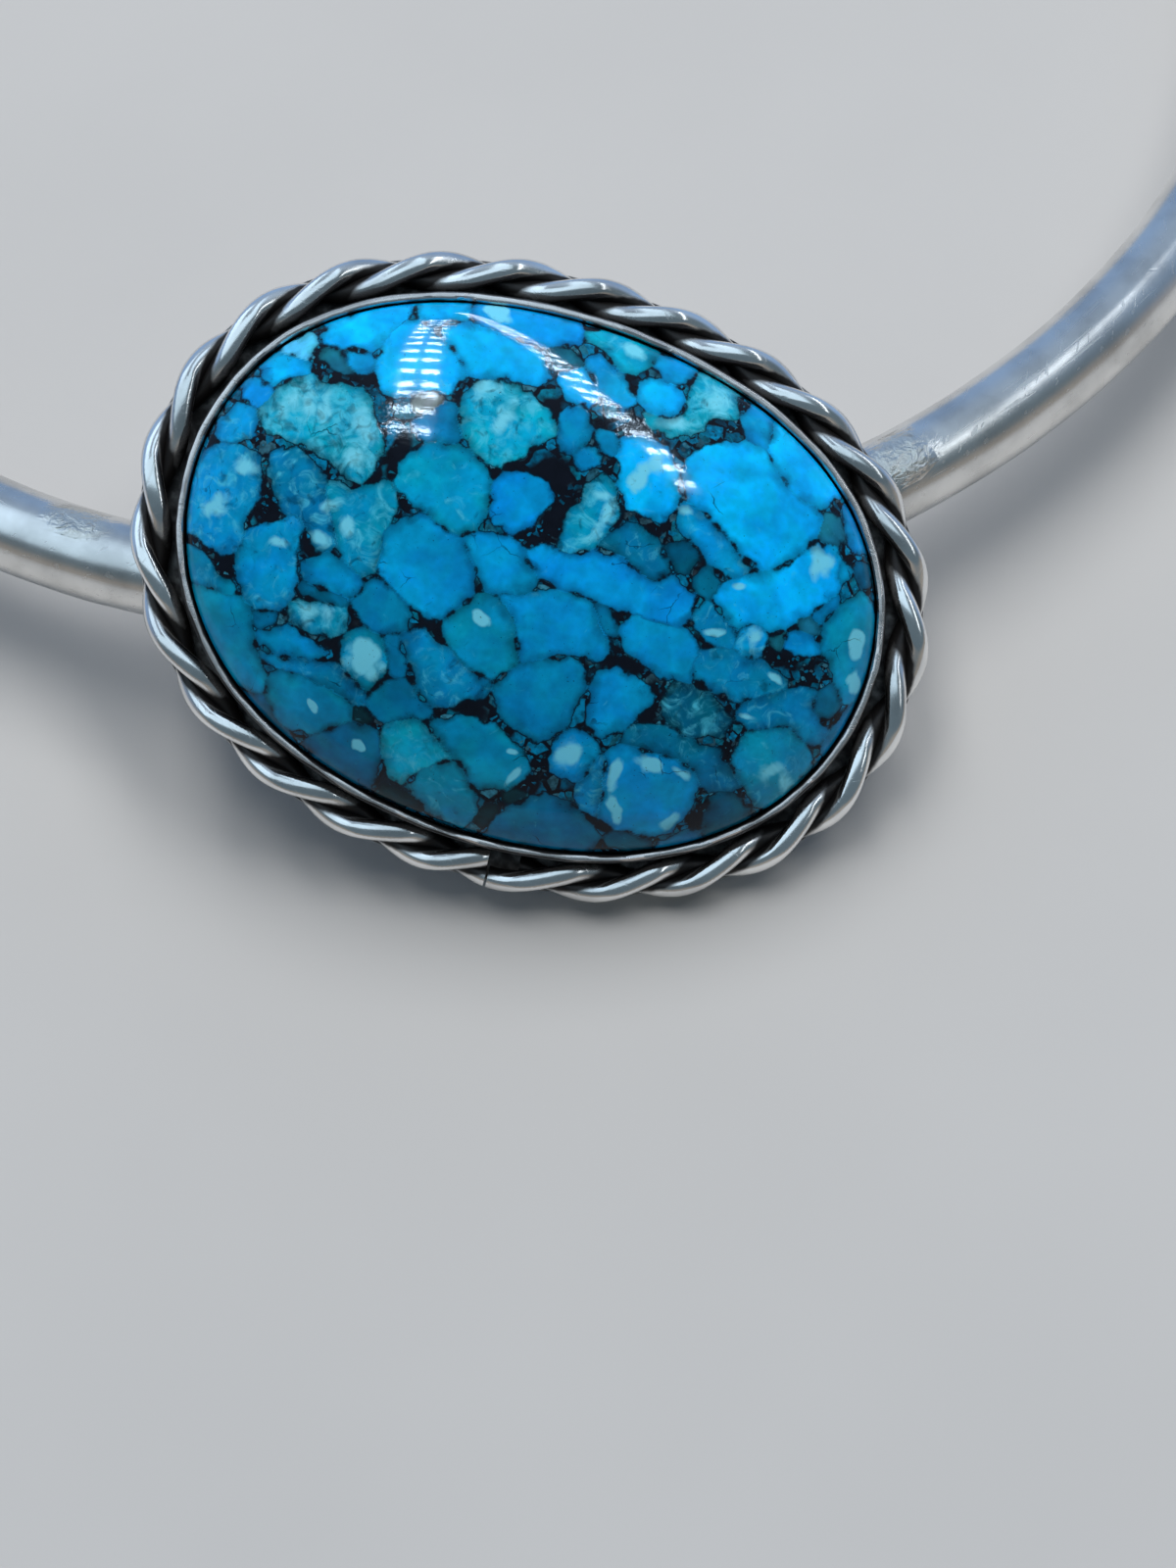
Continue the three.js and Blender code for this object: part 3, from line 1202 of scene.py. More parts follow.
@dataclass
class BezelStrip(Part):
    """The strip that stands on the plate round the stone, its lip pushed over and burnished.

    The lip's points each lie inwards by a share of the lean and a share of the wall, and below the top.
    The bright edge and band and the depth of oxide and painted shade have a value uphill and one downhill:
    downhill the band is thinner and the rest darker, as painted shade.
    """

    oval: Oval = Oval(22.7, 17)
    foot: float = 0.95
    top: float = 5.1
    wall: float = 0.4
    lean: float = 0.22
    lip: tuple[Triple, ...] = (
        (0, 0, 1.6),
        (0.12, 0, 0.8),
        (0.45, 0, 0.3),
        (0.8, 0, 0.07),
        (1, 0.3, 0),
        (1, 0.75, 0.05),
        (1, 1, 0.2),
        (0.7, 1, 0.7),
        (0, 1, 1.5),
    )
    sides: int = 420
    hand: float = 0.07
    worked: float = 1.5
    pushes: tuple[Ripple, ...] = (Ripple(1, 3.5, 5.5), Ripple(0.5, 1.1, 2.5))
    lifts: Ripple = Ripple(0.6, 2.2, 7.5)
    downhill_from: Range = (6.0, -8.0)
    bright_edge: Range = (-0.04, 0)
    bright_band: Range = (0.36, 0.12)
    oxide_and_shade_most: Range = (1.2, 1.6)

    def profile(self) -> list[Point]:
        """The strip's section: up the outside, over the lip and down the inside."""
        lip = [(self.lean * over + self.wall * in_wall, self.top - drop) for over, in_wall, drop in self.lip]
        return [(0, self.foot), *lip, (self.wall, self.foot)]

    def build(self) -> list[Piece]:
        """Raises the strip, joins its two edges under its foot, and works its lip by hand.

        Returns:
            The closed mesh, in the setting's frame.
        """
        strip = oval_strip("bezel_strip", self.oval, self.sides, self.profile(), solid=False)
        rows = places(strip)
        high = smoothstep(self.top - self.worked, self.top, rows[:, 2])
        flat = rows * (1, 1, 0)
        push = self.hand * sum(ripple.over(flat) for ripple in self.pushes)
        rows = rows + outward(flat) * (push * high)[:, None]
        rows[:, 2] += self.hand * self.lifts.over(flat) * high
        set_places(strip, rows)
        store_for_silver(strip, rows, recess=self.recess(rows))
        return [strip]

    def recess(self, rows: np.ndarray) -> np.ndarray:
        """How deep in oxide and painted shade each place lies: all but a bright band along the lip; downhill
        the band is thinner and the rest darker, as painted shade.

        Args:
            rows: Places in the setting's frame, one row each.

        Returns:
            How deep in oxide and painted shade each lies.
        """
        # Painted shade: the strip is darker, and its bright band thinner, downhill.
        downhill = smoothstep(*self.downhill_from, rows[:, 1])
        edge, band, depth = (
            upper + (lower - upper) * downhill
            for upper, lower in (self.bright_edge, self.bright_band, self.oxide_and_shade_most)
        )
        return depth * smoothstep(0, 1, (self.top + edge - rows[:, 2]) / band)


class Strand(Enum):
    """The two strands of the twisted border: where each lies in the twist, and where each is cut."""

    FIRST = (0, 0.05, 0.15)
    SECOND = (180, 1.75, 0.1)

    @property
    def phase(self) -> float:
        """Its place round the twist, in degrees."""
        return self.value[0]

    @property
    def cuts(self) -> Point:
        """How far from the joint its first and last ends are cut, in millimetres."""
        return self.value[1], self.value[2]


@dataclass
class TwistedBorder(Part):
    """Two round strands twisted together and laid round the bezel, with an open joint at the lower left."""

    oval: Oval = Oval(24.45, 18.25)
    axis_height: float = 2.28
    strand_radius: float = 0.71
    strand_offset: float = 0.62
    joint_angle: float = math.radians(-82)
    first_notch: float = 3.22
    half_turn: float = 5.39
    pitch_drift: float = 0.6
    drift_start: float = 7
    steady_run: float = 6
    oxide_and_shade_in_twist: Range = (1.12, 0.5)
    shelter_way: Point = (0.95, -0.3)
    oxide_and_shade_in_shelter: Range = (-0.1, 1.25)
    shelter_shade_share: float = 0.85
    most_oxide_and_shade: float = 1.2
    worn_above: float = 1.0
    worn_share: float = 0.5
    sides: int = 28
    steps_for_half_turn: int = 22
    guide_points: int = 360

    def guide(self) -> tuple[Piece, float]:
        """Lays the border's centre line anticlockwise round the oval, from the joint back to it.

        Returns:
            The curve object, and its length in millimetres.
        """
        turns = [self.joint_angle + math.tau * i / self.guide_points for i in range(self.guide_points + 1)]
        points = [Vector((*self.oval.point(turn), self.axis_height)) for turn in turns]
        curve = bpy.data.curves.new("border_guide", "CURVE")
        curve.dimensions = "3D"
        curve.twist_mode = "Z_UP"
        spline = curve.splines.new("POLY")
        spline.points.add(len(points) - 1)
        for spot, point in zip(spline.points, points):
            spot.co = (*point, 1)
        guide = bpy.data.objects.new("border_guide", curve)
        bpy.context.collection.objects.link(guide)
        return guide, sum((b - a).length for a, b in zip(points, points[1:]))

    def twist(self, strand: Strand, length: float) -> Piece:
        """Screws one round section along a straight line.

        Args:
            strand: Which of the two.
            length: The border's length.

        Returns:
            The straight strand, closed at both ends, along X.
        """
        first_cut, last_cut = strand.cuts
        run = length - first_cut - last_cut
        start = 90 + 180 * (first_cut - self.first_notch) / self.half_turn + strand.phase
        name = f"twisted_strand_{strand.name.lower()}"
        piece = new_section(name, self.sides, self.strand_radius, (0, -self.strand_offset, 0))
        piece.data.transform(Matrix.Rotation(-math.radians(start), 4, "X"))
        screw = piece.modifiers.new("twist", "SCREW")
        screw.axis = "X"
        screw.angle = -math.pi * run / self.half_turn
        screw.screw_offset = run
        screw.steps = screw.render_steps = round(self.steps_for_half_turn * run / self.half_turn)
        activate(piece)
        bpy.ops.object.modifier_apply(modifier=screw.name)
        with editing(piece):
            close_ends()
        return piece

    def work(self, piece: Piece, strand: Strand, length: float) -> None:
        """Works a straight strand as by hand, and keeps how deep it lies in oxide and painted shade: deep in
        the twist, and on the side that faces the bezel and the plate.

        Args:
            piece: The straight strand, along X.
            strand: Which of the two.
            length: The border's length.
        """
        rows = places(piece)
        rows[:, 0] += strand.cuts[0] - rows[:, 0].min()
        inward, up = rows[:, 1], rows[:, 2]
        # Oxide with painted shade: deep in the twist, and on the side that faces the bezel and the plate,
        # where shade falls.
        depth = smoothstep(*self.oxide_and_shade_in_twist, np.hypot(inward, up))
        towards, above = self.shelter_way
        sheltered_shade = smoothstep(*self.oxide_and_shade_in_shelter, inward * towards + up * above)
        recess = np.clip(depth + self.shelter_shade_share * sheltered_shade, 0, self.most_oxide_and_shade)
        store_for_silver(piece, rows, recess)
        along = rows[:, 0]
        wave = np.cos(math.tau * (along - self.drift_start) / length)
        steady = smoothstep(0, self.steady_run, along) * smoothstep(length, length - self.steady_run, along)
        worn = self.worn_share * np.maximum(up - self.worn_above, 0)
        set_places(piece, np.column_stack([along + self.pitch_drift * wave * steady, inward, up - worn]))

    def build(self) -> list[Piece]:
        """Twists both strands straight, and bends them round the oval.

        Returns:
            The strands, in the setting's frame.
        """
        guide, length = self.guide()
        strands = []
        for strand in Strand:
            piece = self.twist(strand, length)
            self.work(piece, strand, length)
            bend = piece.modifiers.new("bend", "CURVE")
            bend.object = guide
            bend.deform_axis = "POS_X"
            activate(piece)
            bpy.ops.object.modifier_apply(modifier=bend.name)
            strands.append(piece)
        bpy.data.objects.remove(guide)
        return strands


class Seam(Enum):
    """The two solder seams where the wire meets the back of the plate."""

    UPHILL = 1
    DOWNHILL = -1


@dataclass
class SolderSeams(Part):
    """Beads of solder in the corners between the wire and the back of the plate."""

    bead: float = 0.62
    half_sweep: float = math.radians(10.5)
    steps: int = 60
    sides: int = 20
    taper_reach: float = 1.02
    taper_power: int = 4
    least_share: float = 0.02
    flow: Ripple = Ripple(0.16, 2.4, 4.5)
    # Oxide with painted shade in the corners between the wire and the plate.
    recess: float = 0.25
    flooding: float = 0.8

    def corner(self, seam: Seam) -> Point:
        """How far out and how high a corner lies from the wire's centre line, at the front.

        Args:
            seam: Which corner.

        Returns:
            How far out and how high, in millimetres.
        """
        face = self.assembly.face_elevation
        depth = self.assembly.seat_height
        half_chord = math.sqrt(self.assembly.wire_radius**2 - depth**2) * seam.value
        out = depth * math.cos(face) - half_chord * math.sin(face)
        up = depth * math.sin(face) + half_chord * math.cos(face)
        return out, up

    def place(self) -> Matrix:
        """From the collar's frame to the choker's."""
        return self.assembly.collar()

    def lay(self, seam: Seam) -> Piece:
        """Spins a round bead about the collar's axis along one corner.

        Args:
            seam: Which corner.

        Returns:
            The closed mesh, in the collar's frame.
        """
        out, up = self.corner(seam)
        radius = self.assembly.collar_radius + out
        start = -self.half_sweep
        first = (radius * math.sin(start), -radius * math.cos(start), up)
        bead = new_section(f"solder_seam_{seam.name.lower()}", self.sides, self.bead, first, start)
        with editing(bead):
            spin_round(self.steps, self.half_sweep)
            close_ends()
        rows = places(bead)
        angle = collar_angle(rows)
        centres = np.column_stack([radius * np.sin(angle), -radius * np.cos(angle), np.full(len(rows), up)])
        share_out = (angle / (self.taper_reach * self.half_sweep)) ** self.taper_power
        taper = np.sqrt(np.clip(1 - share_out, self.least_share, 1))
        swell = taper * (1 + self.flow.over(rows, seam.value))
        rows = centres + (rows - centres) * swell[:, None]
        set_places(bead, rows)
        store_for_silver(bead, rows, self.recess, self.flooding)
        return bead

    def build(self) -> list[Piece]:
        """Lays both seams."""
        return [self.lay(seam) for seam in Seam]


# ---- The stone's chart ----


class Tint(Enum):
    """The colours that the chips of turquoise come in."""

    BRIGHT = srgb(0, 169, 242)
    AZURE = srgb(0, 138, 212)
    MID = srgb(0, 140, 203)
    OCEAN = srgb(0, 124, 178)
    DEEP = srgb(0, 106, 150)
    DUSK = srgb(0, 84, 116)
    NIGHT = srgb(6, 46, 60)
    TEAL = srgb(0, 134, 178)
    SEA = srgb(0, 144, 190)
    AQUA = srgb(0, 152, 190)
    PALE = srgb(78, 194, 243)
    SLATE = srgb(20, 108, 138)
    GREY = srgb(130, 140, 146)


@dataclass(frozen=True)
class Chip:
    """One chip: its tint, how mottled it is, and its outline in millimetres from the stone's middle."""

    tint: Tint
    mottle: float
    outline: tuple[Point, ...]

    def corners(self, cut: float = 0.22) -> np.ndarray:
        """The outline with each corner cut once, by a share of its sides, one row a corner."""
        sharp = np.array(self.outline)
        ahead = np.roll(sharp, -1, axis=0)
        keep = 1 - cut
        return np.stack([keep * sharp + cut * ahead, cut * sharp + keep * ahead], axis=1).reshape(-1, 2)


@dataclass(frozen=True)
class Spot:
    """An oval spot: its middle, half length and half width in millimetres, and its turn in degrees."""

    x: float
    y: float
    half_length: float
    half_width: float
    turn: float = 0

    def depth(self, x: np.ndarray, y: np.ndarray) -> np.ndarray:
        """1 in the spot's middle, 0.5 on its outline, and 0 well outside it."""
        turn = math.radians(self.turn)
        along = (x - self.x) * math.cos(turn) + (y - self.y) * math.sin(turn)
        across = (y - self.y) * math.cos(turn) - (x - self.x) * math.sin(turn)
        return np.clip(1 - 0.5 * np.hypot(along / self.half_length, across / self.half_width), 0, 1)


PALE_SPOTS = (
    Spot(-7.2, 14.9, 1.0, 0.6, -5),
    Spot(-6.4, 9.9, 0.8, 0.5, 30),
    Spot(-4.6, 8.6, 0.9, 0.5, 60),
    Spot(-17.2, 5.6, 0.9, 0.45, 60),
    Spot(-16.2, 5.9, 0.35, 1.0, 10),
    Spot(-15.1, 5.6, 0.3, 1.1, 15),
    Spot(-12.4, 5.4, 0.5, 1.0, 30),
    Spot(-12.2, 3.6, 0.8, 0.6, 20),
    Spot(-19.6, -2, 0.8, 0.55, 40),
    Spot(-18.7, 0.8, 0.7, 0.4, 15),
    Spot(-15.2, -2.9, 0.6, 0.3, 10),
    Spot(-12.8, -1.8, 0.5, 0.4),
    Spot(-12.9, 0.3, 0.6, 0.4, 30),
    Spot(-11.45, -0.5, 0.4, 0.6, 20),
    Spot(-10.1, -11.6, 0.5, 0.22, -35),
    Spot(-6.6, -13.2, 0.6, 0.3, -20),
    Spot(-8, -7.8, 1.05, 1.25, 30),
    Spot(-12.2, -6.3, 0.45, 0.6, 20),
    Spot(-10.9, -6, 0.3, 0.6, 20),
    Spot(-2.1, -3.15, 0.6, 0.35, -25),
    Spot(2.9, -11.8, 0.25, 0.8, -15),
    Spot(2.4, -10.4, 0.35, 0.2),
    Spot(5.7, -9.3, 0.75, 0.95),
    Spot(8.75, -9.9, 0.35, 1.2, 5),
    Spot(9.5, -11.6, 0.4, 0.9, 35),
    Spot(10.6, -8.4, 0.9, 0.45, -15),
    Spot(12.8, -8.4, 0.6, 0.35, -10),
    Spot(12.9, -11.4, 0.4, 0.7, -20),
    Spot(17.7, -6.6, 0.8, 0.55, 40),
    Spot(19, -6.9, 0.45, 0.8, 10),
    Spot(16.5, 6.65, 0.75, 0.9),
    Spot(12.2, 3.65, 0.5, 0.25, 15),
    Spot(7.6, 6.9, 0.5, 0.3),
    Spot(4.4, 7.9, 0.45, 0.9, -20),
    Spot(5.1, 9.1, 0.45, 0.8, 25),
    Spot(3.1, 4.9, 0.35, 1.3, -12),
    Spot(2.6, 6.2, 0.5, 0.3, 20),
    Spot(11.6, 0.55, 0.6, 0.2, 20),
    Spot(14.2, 0.9, 0.4, 0.6),
    Spot(20.4, 2.7, 0.6, 1.0, 12),
    Spot(21.1, 0.65, 0.45, 0.8, 10),
    Spot(16.1, -0.9, 0.5, 0.2, -20),
    Spot(15.3, -3.7, 0.5, 0.2),
    Spot(7.4, 14, 0.8, 0.8),
    Spot(5.2, 11.8, 0.9, 0.35, 20),
    Spot(1.6, 15.2, 0.8, 0.4),
)

DARK_POCKETS = (
    Spot(-13.5, 8.7, 1.5, 1.0),
    Spot(-1.0, 6.1, 1.7, 1.3, 70),
    Spot(1.6, 5.6, 1.3, 0.7),
    Spot(0.5, 3.6, 1.1, 0.7),
    Spot(-16.6, -1.1, 1.3, 1.0, 110),
    Spot(-17.7, -5.1, 1.2, 0.7, -20),
    Spot(6.7, -3.0, 1.5, 0.8, -20),
    Spot(9.4, -5.0, 1.7, 0.7, 100),
    Spot(16.0, 0.5, 1.5, 0.8),
    Spot(-6.4, -8.1, 1.0, 0.8, 80),
    Spot(3.8, -12.2, 1.3, 0.9, 90),
    Spot(-1.3, -8.6, 1.7, 0.6),
    Spot(6.0, -0.6, 0.8, 0.6),
    Spot(15.0, -10.0, 1.1, 0.8, 60),
    Spot(-12.9, -2.5, 1.0, 0.6),
    Spot(9.6, 13.9, 1.2, 0.8, 90),
    Spot(-9.9, 4.4, 1.5, 0.7, 90),
    Spot(15.8, 8.2, 1.3, 0.7, 110),
)

CHIPS = (
    Chip(Tint.BRIGHT, 0.05, ((-17, 10.1), (-16.3, 11.1), (-14.4, 12.7), (-13, 13.5), (-12.1, 13.5),
        (-12.1, 12.9), (-13, 11.3), (-13.3, 10.5), (-14.1, 9.9), (-15.2, 9.6), (-16.3, 9.7))),
    Chip(Tint.BRIGHT, 0.05, ((-12, 13.4), (-11.1, 14.1), (-9.9, 14.6), (-8.9, 14.9), (-8.8, 14.2),
        (-9.2, 13.8), (-9.9, 13.4), (-10.6, 12.8), (-11.4, 12.9))),
    Chip(Tint.AZURE, 0.1, ((-8.7, 14.4), (-8.3, 15.2), (-6.5, 15.7), (-4, 16), (-2.4, 15.9), (-1.9, 15.2),
        (-2, 14.4), (-3, 14), (-4.2, 13.6), (-6, 13.6), (-7.6, 13.7))),
    Chip(Tint.BRIGHT, 0.1, ((-10, 12.6), (-8.9, 13.4), (-7, 13.5), (-4.5, 13.4), (-3.1, 12.6), (-2.9, 11.8),
        (-4.3, 11.2), (-6, 10.9), (-7.4, 10.7), (-8.4, 11.2), (-9.2, 11.9))),
    Chip(Tint.BRIGHT, 0.05, ((-2, 12.8), (-1.1, 13), (-0.2, 12.6), (0.3, 11.8), (0.2, 11), (-1.1, 10.9),
        (-2, 11.6))),
    Chip(Tint.OCEAN, 0.2, ((-1.1, 10.8), (-0.1, 10.6), (0.5, 9.8), (0.6, 8.9), (0.1, 8.1), (-0.8, 8.2),
        (-1.3, 9.1), (-1.4, 10.1))),
    Chip(Tint.AQUA, 0.55, ((-7.2, 8.4), (-7, 9.7), (-5.9, 10.6), (-4.5, 10.9), (-3, 10.2), (-1.8, 9.6),
        (-1.4, 8.9), (-2, 8.1), (-2.6, 7.8), (-3, 6.8), (-4, 6), (-5.1, 6), (-6.1, 6.6), (-7, 7.3))),
    Chip(Tint.BRIGHT, 0.3, ((-13, 11.3), (-12.3, 12.3), (-11.1, 12.6), (-9.9, 12.2), (-8.3, 11.3),
        (-7.8, 10.2), (-8.2, 9.2), (-9.2, 9), (-10.2, 8.5), (-11.8, 7.8), (-12.7, 8.9), (-13, 10.1))),
    Chip(Tint.GREY, 0.1, ((-10, 8.1), (-9.7, 8.7), (-9.2, 8.9), (-8.7, 8.5), (-8.6, 7.7), (-9, 7.2),
        (-9.6, 7.2), (-9.9, 7.5))),
    Chip(Tint.OCEAN, 0.2, ((-9.6, 7.3), (-8.6, 8.2), (-7.6, 8.3), (-7.1, 7.4), (-6.6, 6.8), (-7.4, 6.1),
        (-8.9, 6), (-9.7, 6.4))),
    Chip(Tint.AQUA, 0.75, ((-18.9, 4.3), (-18.3, 5.5), (-18.2, 6.5), (-17, 7.2), (-15.8, 7), (-14, 7.5),
        (-13, 7.3), (-12.3, 6.5), (-11.8, 5.6), (-11.3, 5), (-11, 3.9), (-11.3, 2.4), (-12, 2.1),
        (-12.8, 2.5), (-13.7, 3), (-15.4, 3.2), (-17, 3.3), (-18, 3.5))),
    Chip(Tint.PALE, 0.2, ((-18.8, 8.4), (-18.2, 9.4), (-17.5, 9.9), (-17.1, 9.6), (-17.2, 8.5),
        (-18, 8.2))),
    Chip(Tint.BRIGHT, 0.1, ((-19.6, 7.2), (-18.9, 8.1), (-17.5, 8.2), (-16.9, 7.7), (-17.5, 7), (-18.4, 6.3),
        (-19.3, 6.3))),
    Chip(Tint.AZURE, 0.2, ((-20.4, 5.6), (-19.7, 6.1), (-18.8, 6), (-18.7, 5.5), (-18.9, 4.8), (-19.7, 4.6),
        (-20.4, 5))),
    Chip(Tint.MID, 0.4, ((-21, 3), (-20.6, 4.2), (-19.7, 4.5), (-19.1, 3.9), (-18.9, 3), (-18.5, 2.9),
        (-19.6, 2.2), (-20.6, 2), (-21, 2.4))),
    Chip(Tint.SLATE, 0.2, ((-16.4, 9.3), (-15.5, 9.3), (-14.5, 8.9), (-14, 8.4), (-15, 8.2), (-16, 8.6))),
    Chip(Tint.MID, 0.1, ((-14.9, 9.6), (-13.8, 9.8), (-13.3, 9.2), (-13.4, 8.6), (-14.4, 8.5), (-15, 9))),
    Chip(Tint.MID, 0.45, ((-21.6, 0.6), (-20.8, 1.5), (-19.5, 1.9), (-18.3, 1.6), (-17.6, 0.6),
        (-17.5, -1.2), (-17.7, -2.2), (-17.2, -3.2), (-17.6, -4.2), (-18.9, -4.5), (-20, -4.3),
        (-20.9, -3.6), (-21.4, -2.4), (-21.7, -0.8))),
    Chip(Tint.MID, 0.4, ((-17.4, -2.5), (-16.2, -2.3), (-15.4, -1.6), (-14.6, -1.1), (-13.9, -1.6),
        (-13.9, -2.6), (-14.4, -3.4), (-13.6, -4.2), (-13.2, -5.3), (-13.8, -6.4), (-14.9, -7.1),
        (-16, -6.7), (-16.9, -5.6), (-17.3, -4.4), (-17.5, -3.4))),
    Chip(Tint.OCEAN, 0.5, ((-17.3, 1.5), (-17, 2.4), (-16.1, 2.8), (-14.9, 2.4), (-14.1, 1.9), (-13.5, 1),
        (-13, 0.1), (-12.3, -0.9), (-11.9, -1.9), (-12.7, -2.4), (-13.3, -2.1), (-13.8, -1.1),
        (-14.9, -0.8), (-15.9, -0.9), (-15.8, -0.2), (-16.6, 0.3))),
    Chip(Tint.TEAL, 0.5, ((-13.3, 1.4), (-12.7, 1.6), (-11.6, 1.5), (-11.1, 2.2), (-10.2, 2.6), (-9.4, 2.4),
        (-9.1, 1.4), (-9.2, -0.1), (-9.1, -1.1), (-9.2, -2.5), (-9.7, -2.9), (-10.9, -2.5), (-11.6, -1.9),
        (-12, -1.1), (-12.7, -0.1))),
    Chip(Tint.MID, 0.2, ((-13.4, -3.9), (-12.7, -3), (-11.6, -2.8), (-10.2, -3), (-9.4, -3.9), (-9.9, -4.5),
        (-11.1, -4.7), (-12.5, -4.5))),
    Chip(Tint.DEEP, 0.1, ((-13.2, -4.9), (-11.8, -4.9), (-10.4, -4.8), (-10.2, -5.2), (-11.4, -5.5),
        (-12.6, -5.4))),
    Chip(Tint.TEAL, 0.4, ((-20.6, -4.8), (-19.4, -5.2), (-18.2, -6), (-17, -6.4), (-17.1, -6.9),
        (-19.4, -6.9), (-20.5, -6.7), (-20.9, -5.8))),
    Chip(Tint.SEA, 0.05, ((-20.1, -7.2), (-19.3, -6.9), (-17, -7), (-15.7, -7.3), (-15.1, -8.2),
        (-14.9, -9.2), (-14.1, -10.4), (-13.4, -11.1), (-13.4, -11.9), (-14.3, -12.2), (-16, -11.9),
        (-17.5, -10.8), (-19, -9.2), (-19.7, -8.2))),
    Chip(Tint.DEEP, 0.1, ((-15.2, -12), (-13.5, -12.1), (-12.4, -13), (-11.2, -13.8), (-10.4, -14.3),
        (-12, -14.2), (-13.8, -13.3))),
    Chip(Tint.DEEP, 0.1, ((-15.2, -7.3), (-14.2, -7.1), (-14, -7.7), (-14.6, -8.2), (-15, -8))),
    Chip(Tint.MID, 0.15, ((-14.8, -8.6), (-14, -8.1), (-12.8, -7.7), (-12, -7.8), (-10.9, -8.3),
        (-10.2, -8.4), (-10.9, -8.8), (-12, -9.2), (-13.2, -9.3), (-14.2, -9.1))),
    Chip(Tint.OCEAN, 0.4, ((-14.4, -9.3), (-13.3, -9.5), (-11.8, -9.2), (-10.6, -8.9), (-9.6, -8.9),
        (-8.5, -9.5), (-7.3, -10), (-7.3, -10.6), (-8.5, -10.5), (-10.2, -10.1), (-12, -10),
        (-13.3, -10.1))),
    Chip(Tint.TEAL, 0.05, ((-13.2, -11.4), (-13, -10.5), (-12, -10.2), (-10.2, -10.2), (-8.3, -10.7),
        (-7.7, -11.4), (-8, -12.1), (-8.9, -12.8), (-9.7, -13.3), (-10.9, -13.5), (-12.1, -13.1),
        (-12.9, -12.2))),
    Chip(Tint.DEEP, 0.05, ((-9.9, -14.2), (-9.2, -13.3), (-8.3, -12.4), (-7.5, -11.9), (-6.2, -11.9),
        (-5.5, -12.6), (-5.2, -14), (-5.1, -15.3), (-6.5, -15.4), (-8.3, -15))),
    Chip(Tint.TEAL, 0.15, ((-9.6, -7.4), (-9.2, -6.7), (-8.2, -6.2), (-7.1, -6.7), (-6.6, -7.6), (-6.5, -8.3),
        (-7, -9.3), (-7.3, -9.7), (-8.7, -8.6), (-9.4, -8.1))),
    Chip(Tint.TEAL, 0.6, ((-13.1, -5.7), (-12, -5.4), (-10.8, -5.3), (-9.9, -5.6), (-9.8, -6.6),
        (-10.6, -7.2), (-11.8, -7.3), (-12.8, -7.1), (-13.2, -6.4))),
    Chip(Tint.SEA, 0.3, ((-9.6, 3.6), (-9.2, 4.8), (-8.3, 5.7), (-7, 6), (-5.6, 6.1), (-4.7, 5.5),
        (-4, 4.3), (-3.8, 3.2), (-4, 2.2), (-4.7, 1.3), (-5.6, 1.1), (-6.3, 1.5), (-7.1, 2), (-8.2, 2.2),
        (-9.2, 2.5))),
    Chip(Tint.AZURE, 0.1, ((-3.9, 4.8), (-3.2, 5.5), (-2, 5.6), (-0.9, 5.8), (-0.3, 5.1), (-0.6, 4.2),
        (-1.1, 3.4), (-1.6, 2.5), (-2.5, 2.3), (-3.2, 2.5), (-3.7, 3.4))),
    Chip(Tint.MID, 0.1, ((-9, 0.1), (-8.3, 0.8), (-8, 1.1), (-7, 1.5), (-5.8, 1), (-4.5, 0.7),
        (-3.9, 0.1), (-3.2, -0.8), (-3.1, -1.8), (-3.4, -2.8), (-4, -3.9), (-5.4, -4), (-6.5, -3.9),
        (-8, -3), (-8.3, -2.6), (-8.9, -2.1), (-8.6, -1.2), (-9, -0.6))),
    Chip(Tint.MID, 0.15, ((-4.5, 1.1), (-3.7, 1.7), (-2.3, 1.9), (-1.1, 1.6), (-0.4, 1), (0.3, 0.1),
        (0.1, -0.8), (-0.9, -1.2), (-2.1, -1.5), (-3, -1.1), (-3.5, -0.2), (-4.2, 0.6))),
    Chip(Tint.TEAL, 0.2, ((-4, -4), (-3.2, -3.1), (-2.6, -2.1), (-1.6, -1.7), (-0.7, -2.2), (0, -3.1),
        (0.6, -4), (0.9, -5), (0.4, -5.8), (-0.2, -6.4), (-1.3, -6.4), (-2.5, -5.7), (-3.6, -4.9))),
    Chip(Tint.MID, 0.15, ((-1.4, -1.6), (0.2, -1.1), (1.3, -0.4), (2.7, 0), (3.9, -0.2), (4.8, -1),
        (5.8, -2), (6, -2.8), (5.1, -3.3), (4, -3.4), (3, -3.8), (2.1, -4.5), (1, -4.8), (0.3, -3.3),
        (-0.4, -2.3))),
    Chip(Tint.AZURE, 0.15, ((-0.8, 1.3), (0.3, 2), (1.6, 1.9), (2.7, 2.4), (3.7, 2.9), (4.7, 3),
        (5.1, 2.6), (6.3, 2.4), (7.3, 2), (7.9, 2.9), (8.9, 2.6), (9.8, 2), (9.9, 1.1), (9.6, 0.4),
        (8.4, 0.1), (6.8, 0.1), (4.8, 0.1), (3, 0.2), (2, 0.1), (1.1, 0.3), (0.3, 0.6), (-0.4, 0.8))),
    Chip(Tint.DEEP, 0.35, ((3.4, 3.4), (3.9, 4.6), (4.6, 5), (5.8, 4.8), (6.8, 4.2), (7.9, 4.2), (7.8, 3.2),
        (7.3, 2.2), (6.7, 2.4), (5.8, 2.8), (5.1, 3.2), (4, 3))),
    Chip(Tint.TEAL, 0.6, ((2.2, 7.3), (3, 6.8), (3.5, 5.6), (3.7, 5.1), (3.4, 3.9), (2.7, 2.7), (2, 2.4),
        (1.3, 2.2), (1.1, 3), (1.1, 4.2), (1.4, 5.5), (1.6, 6.1), (1.8, 7))),
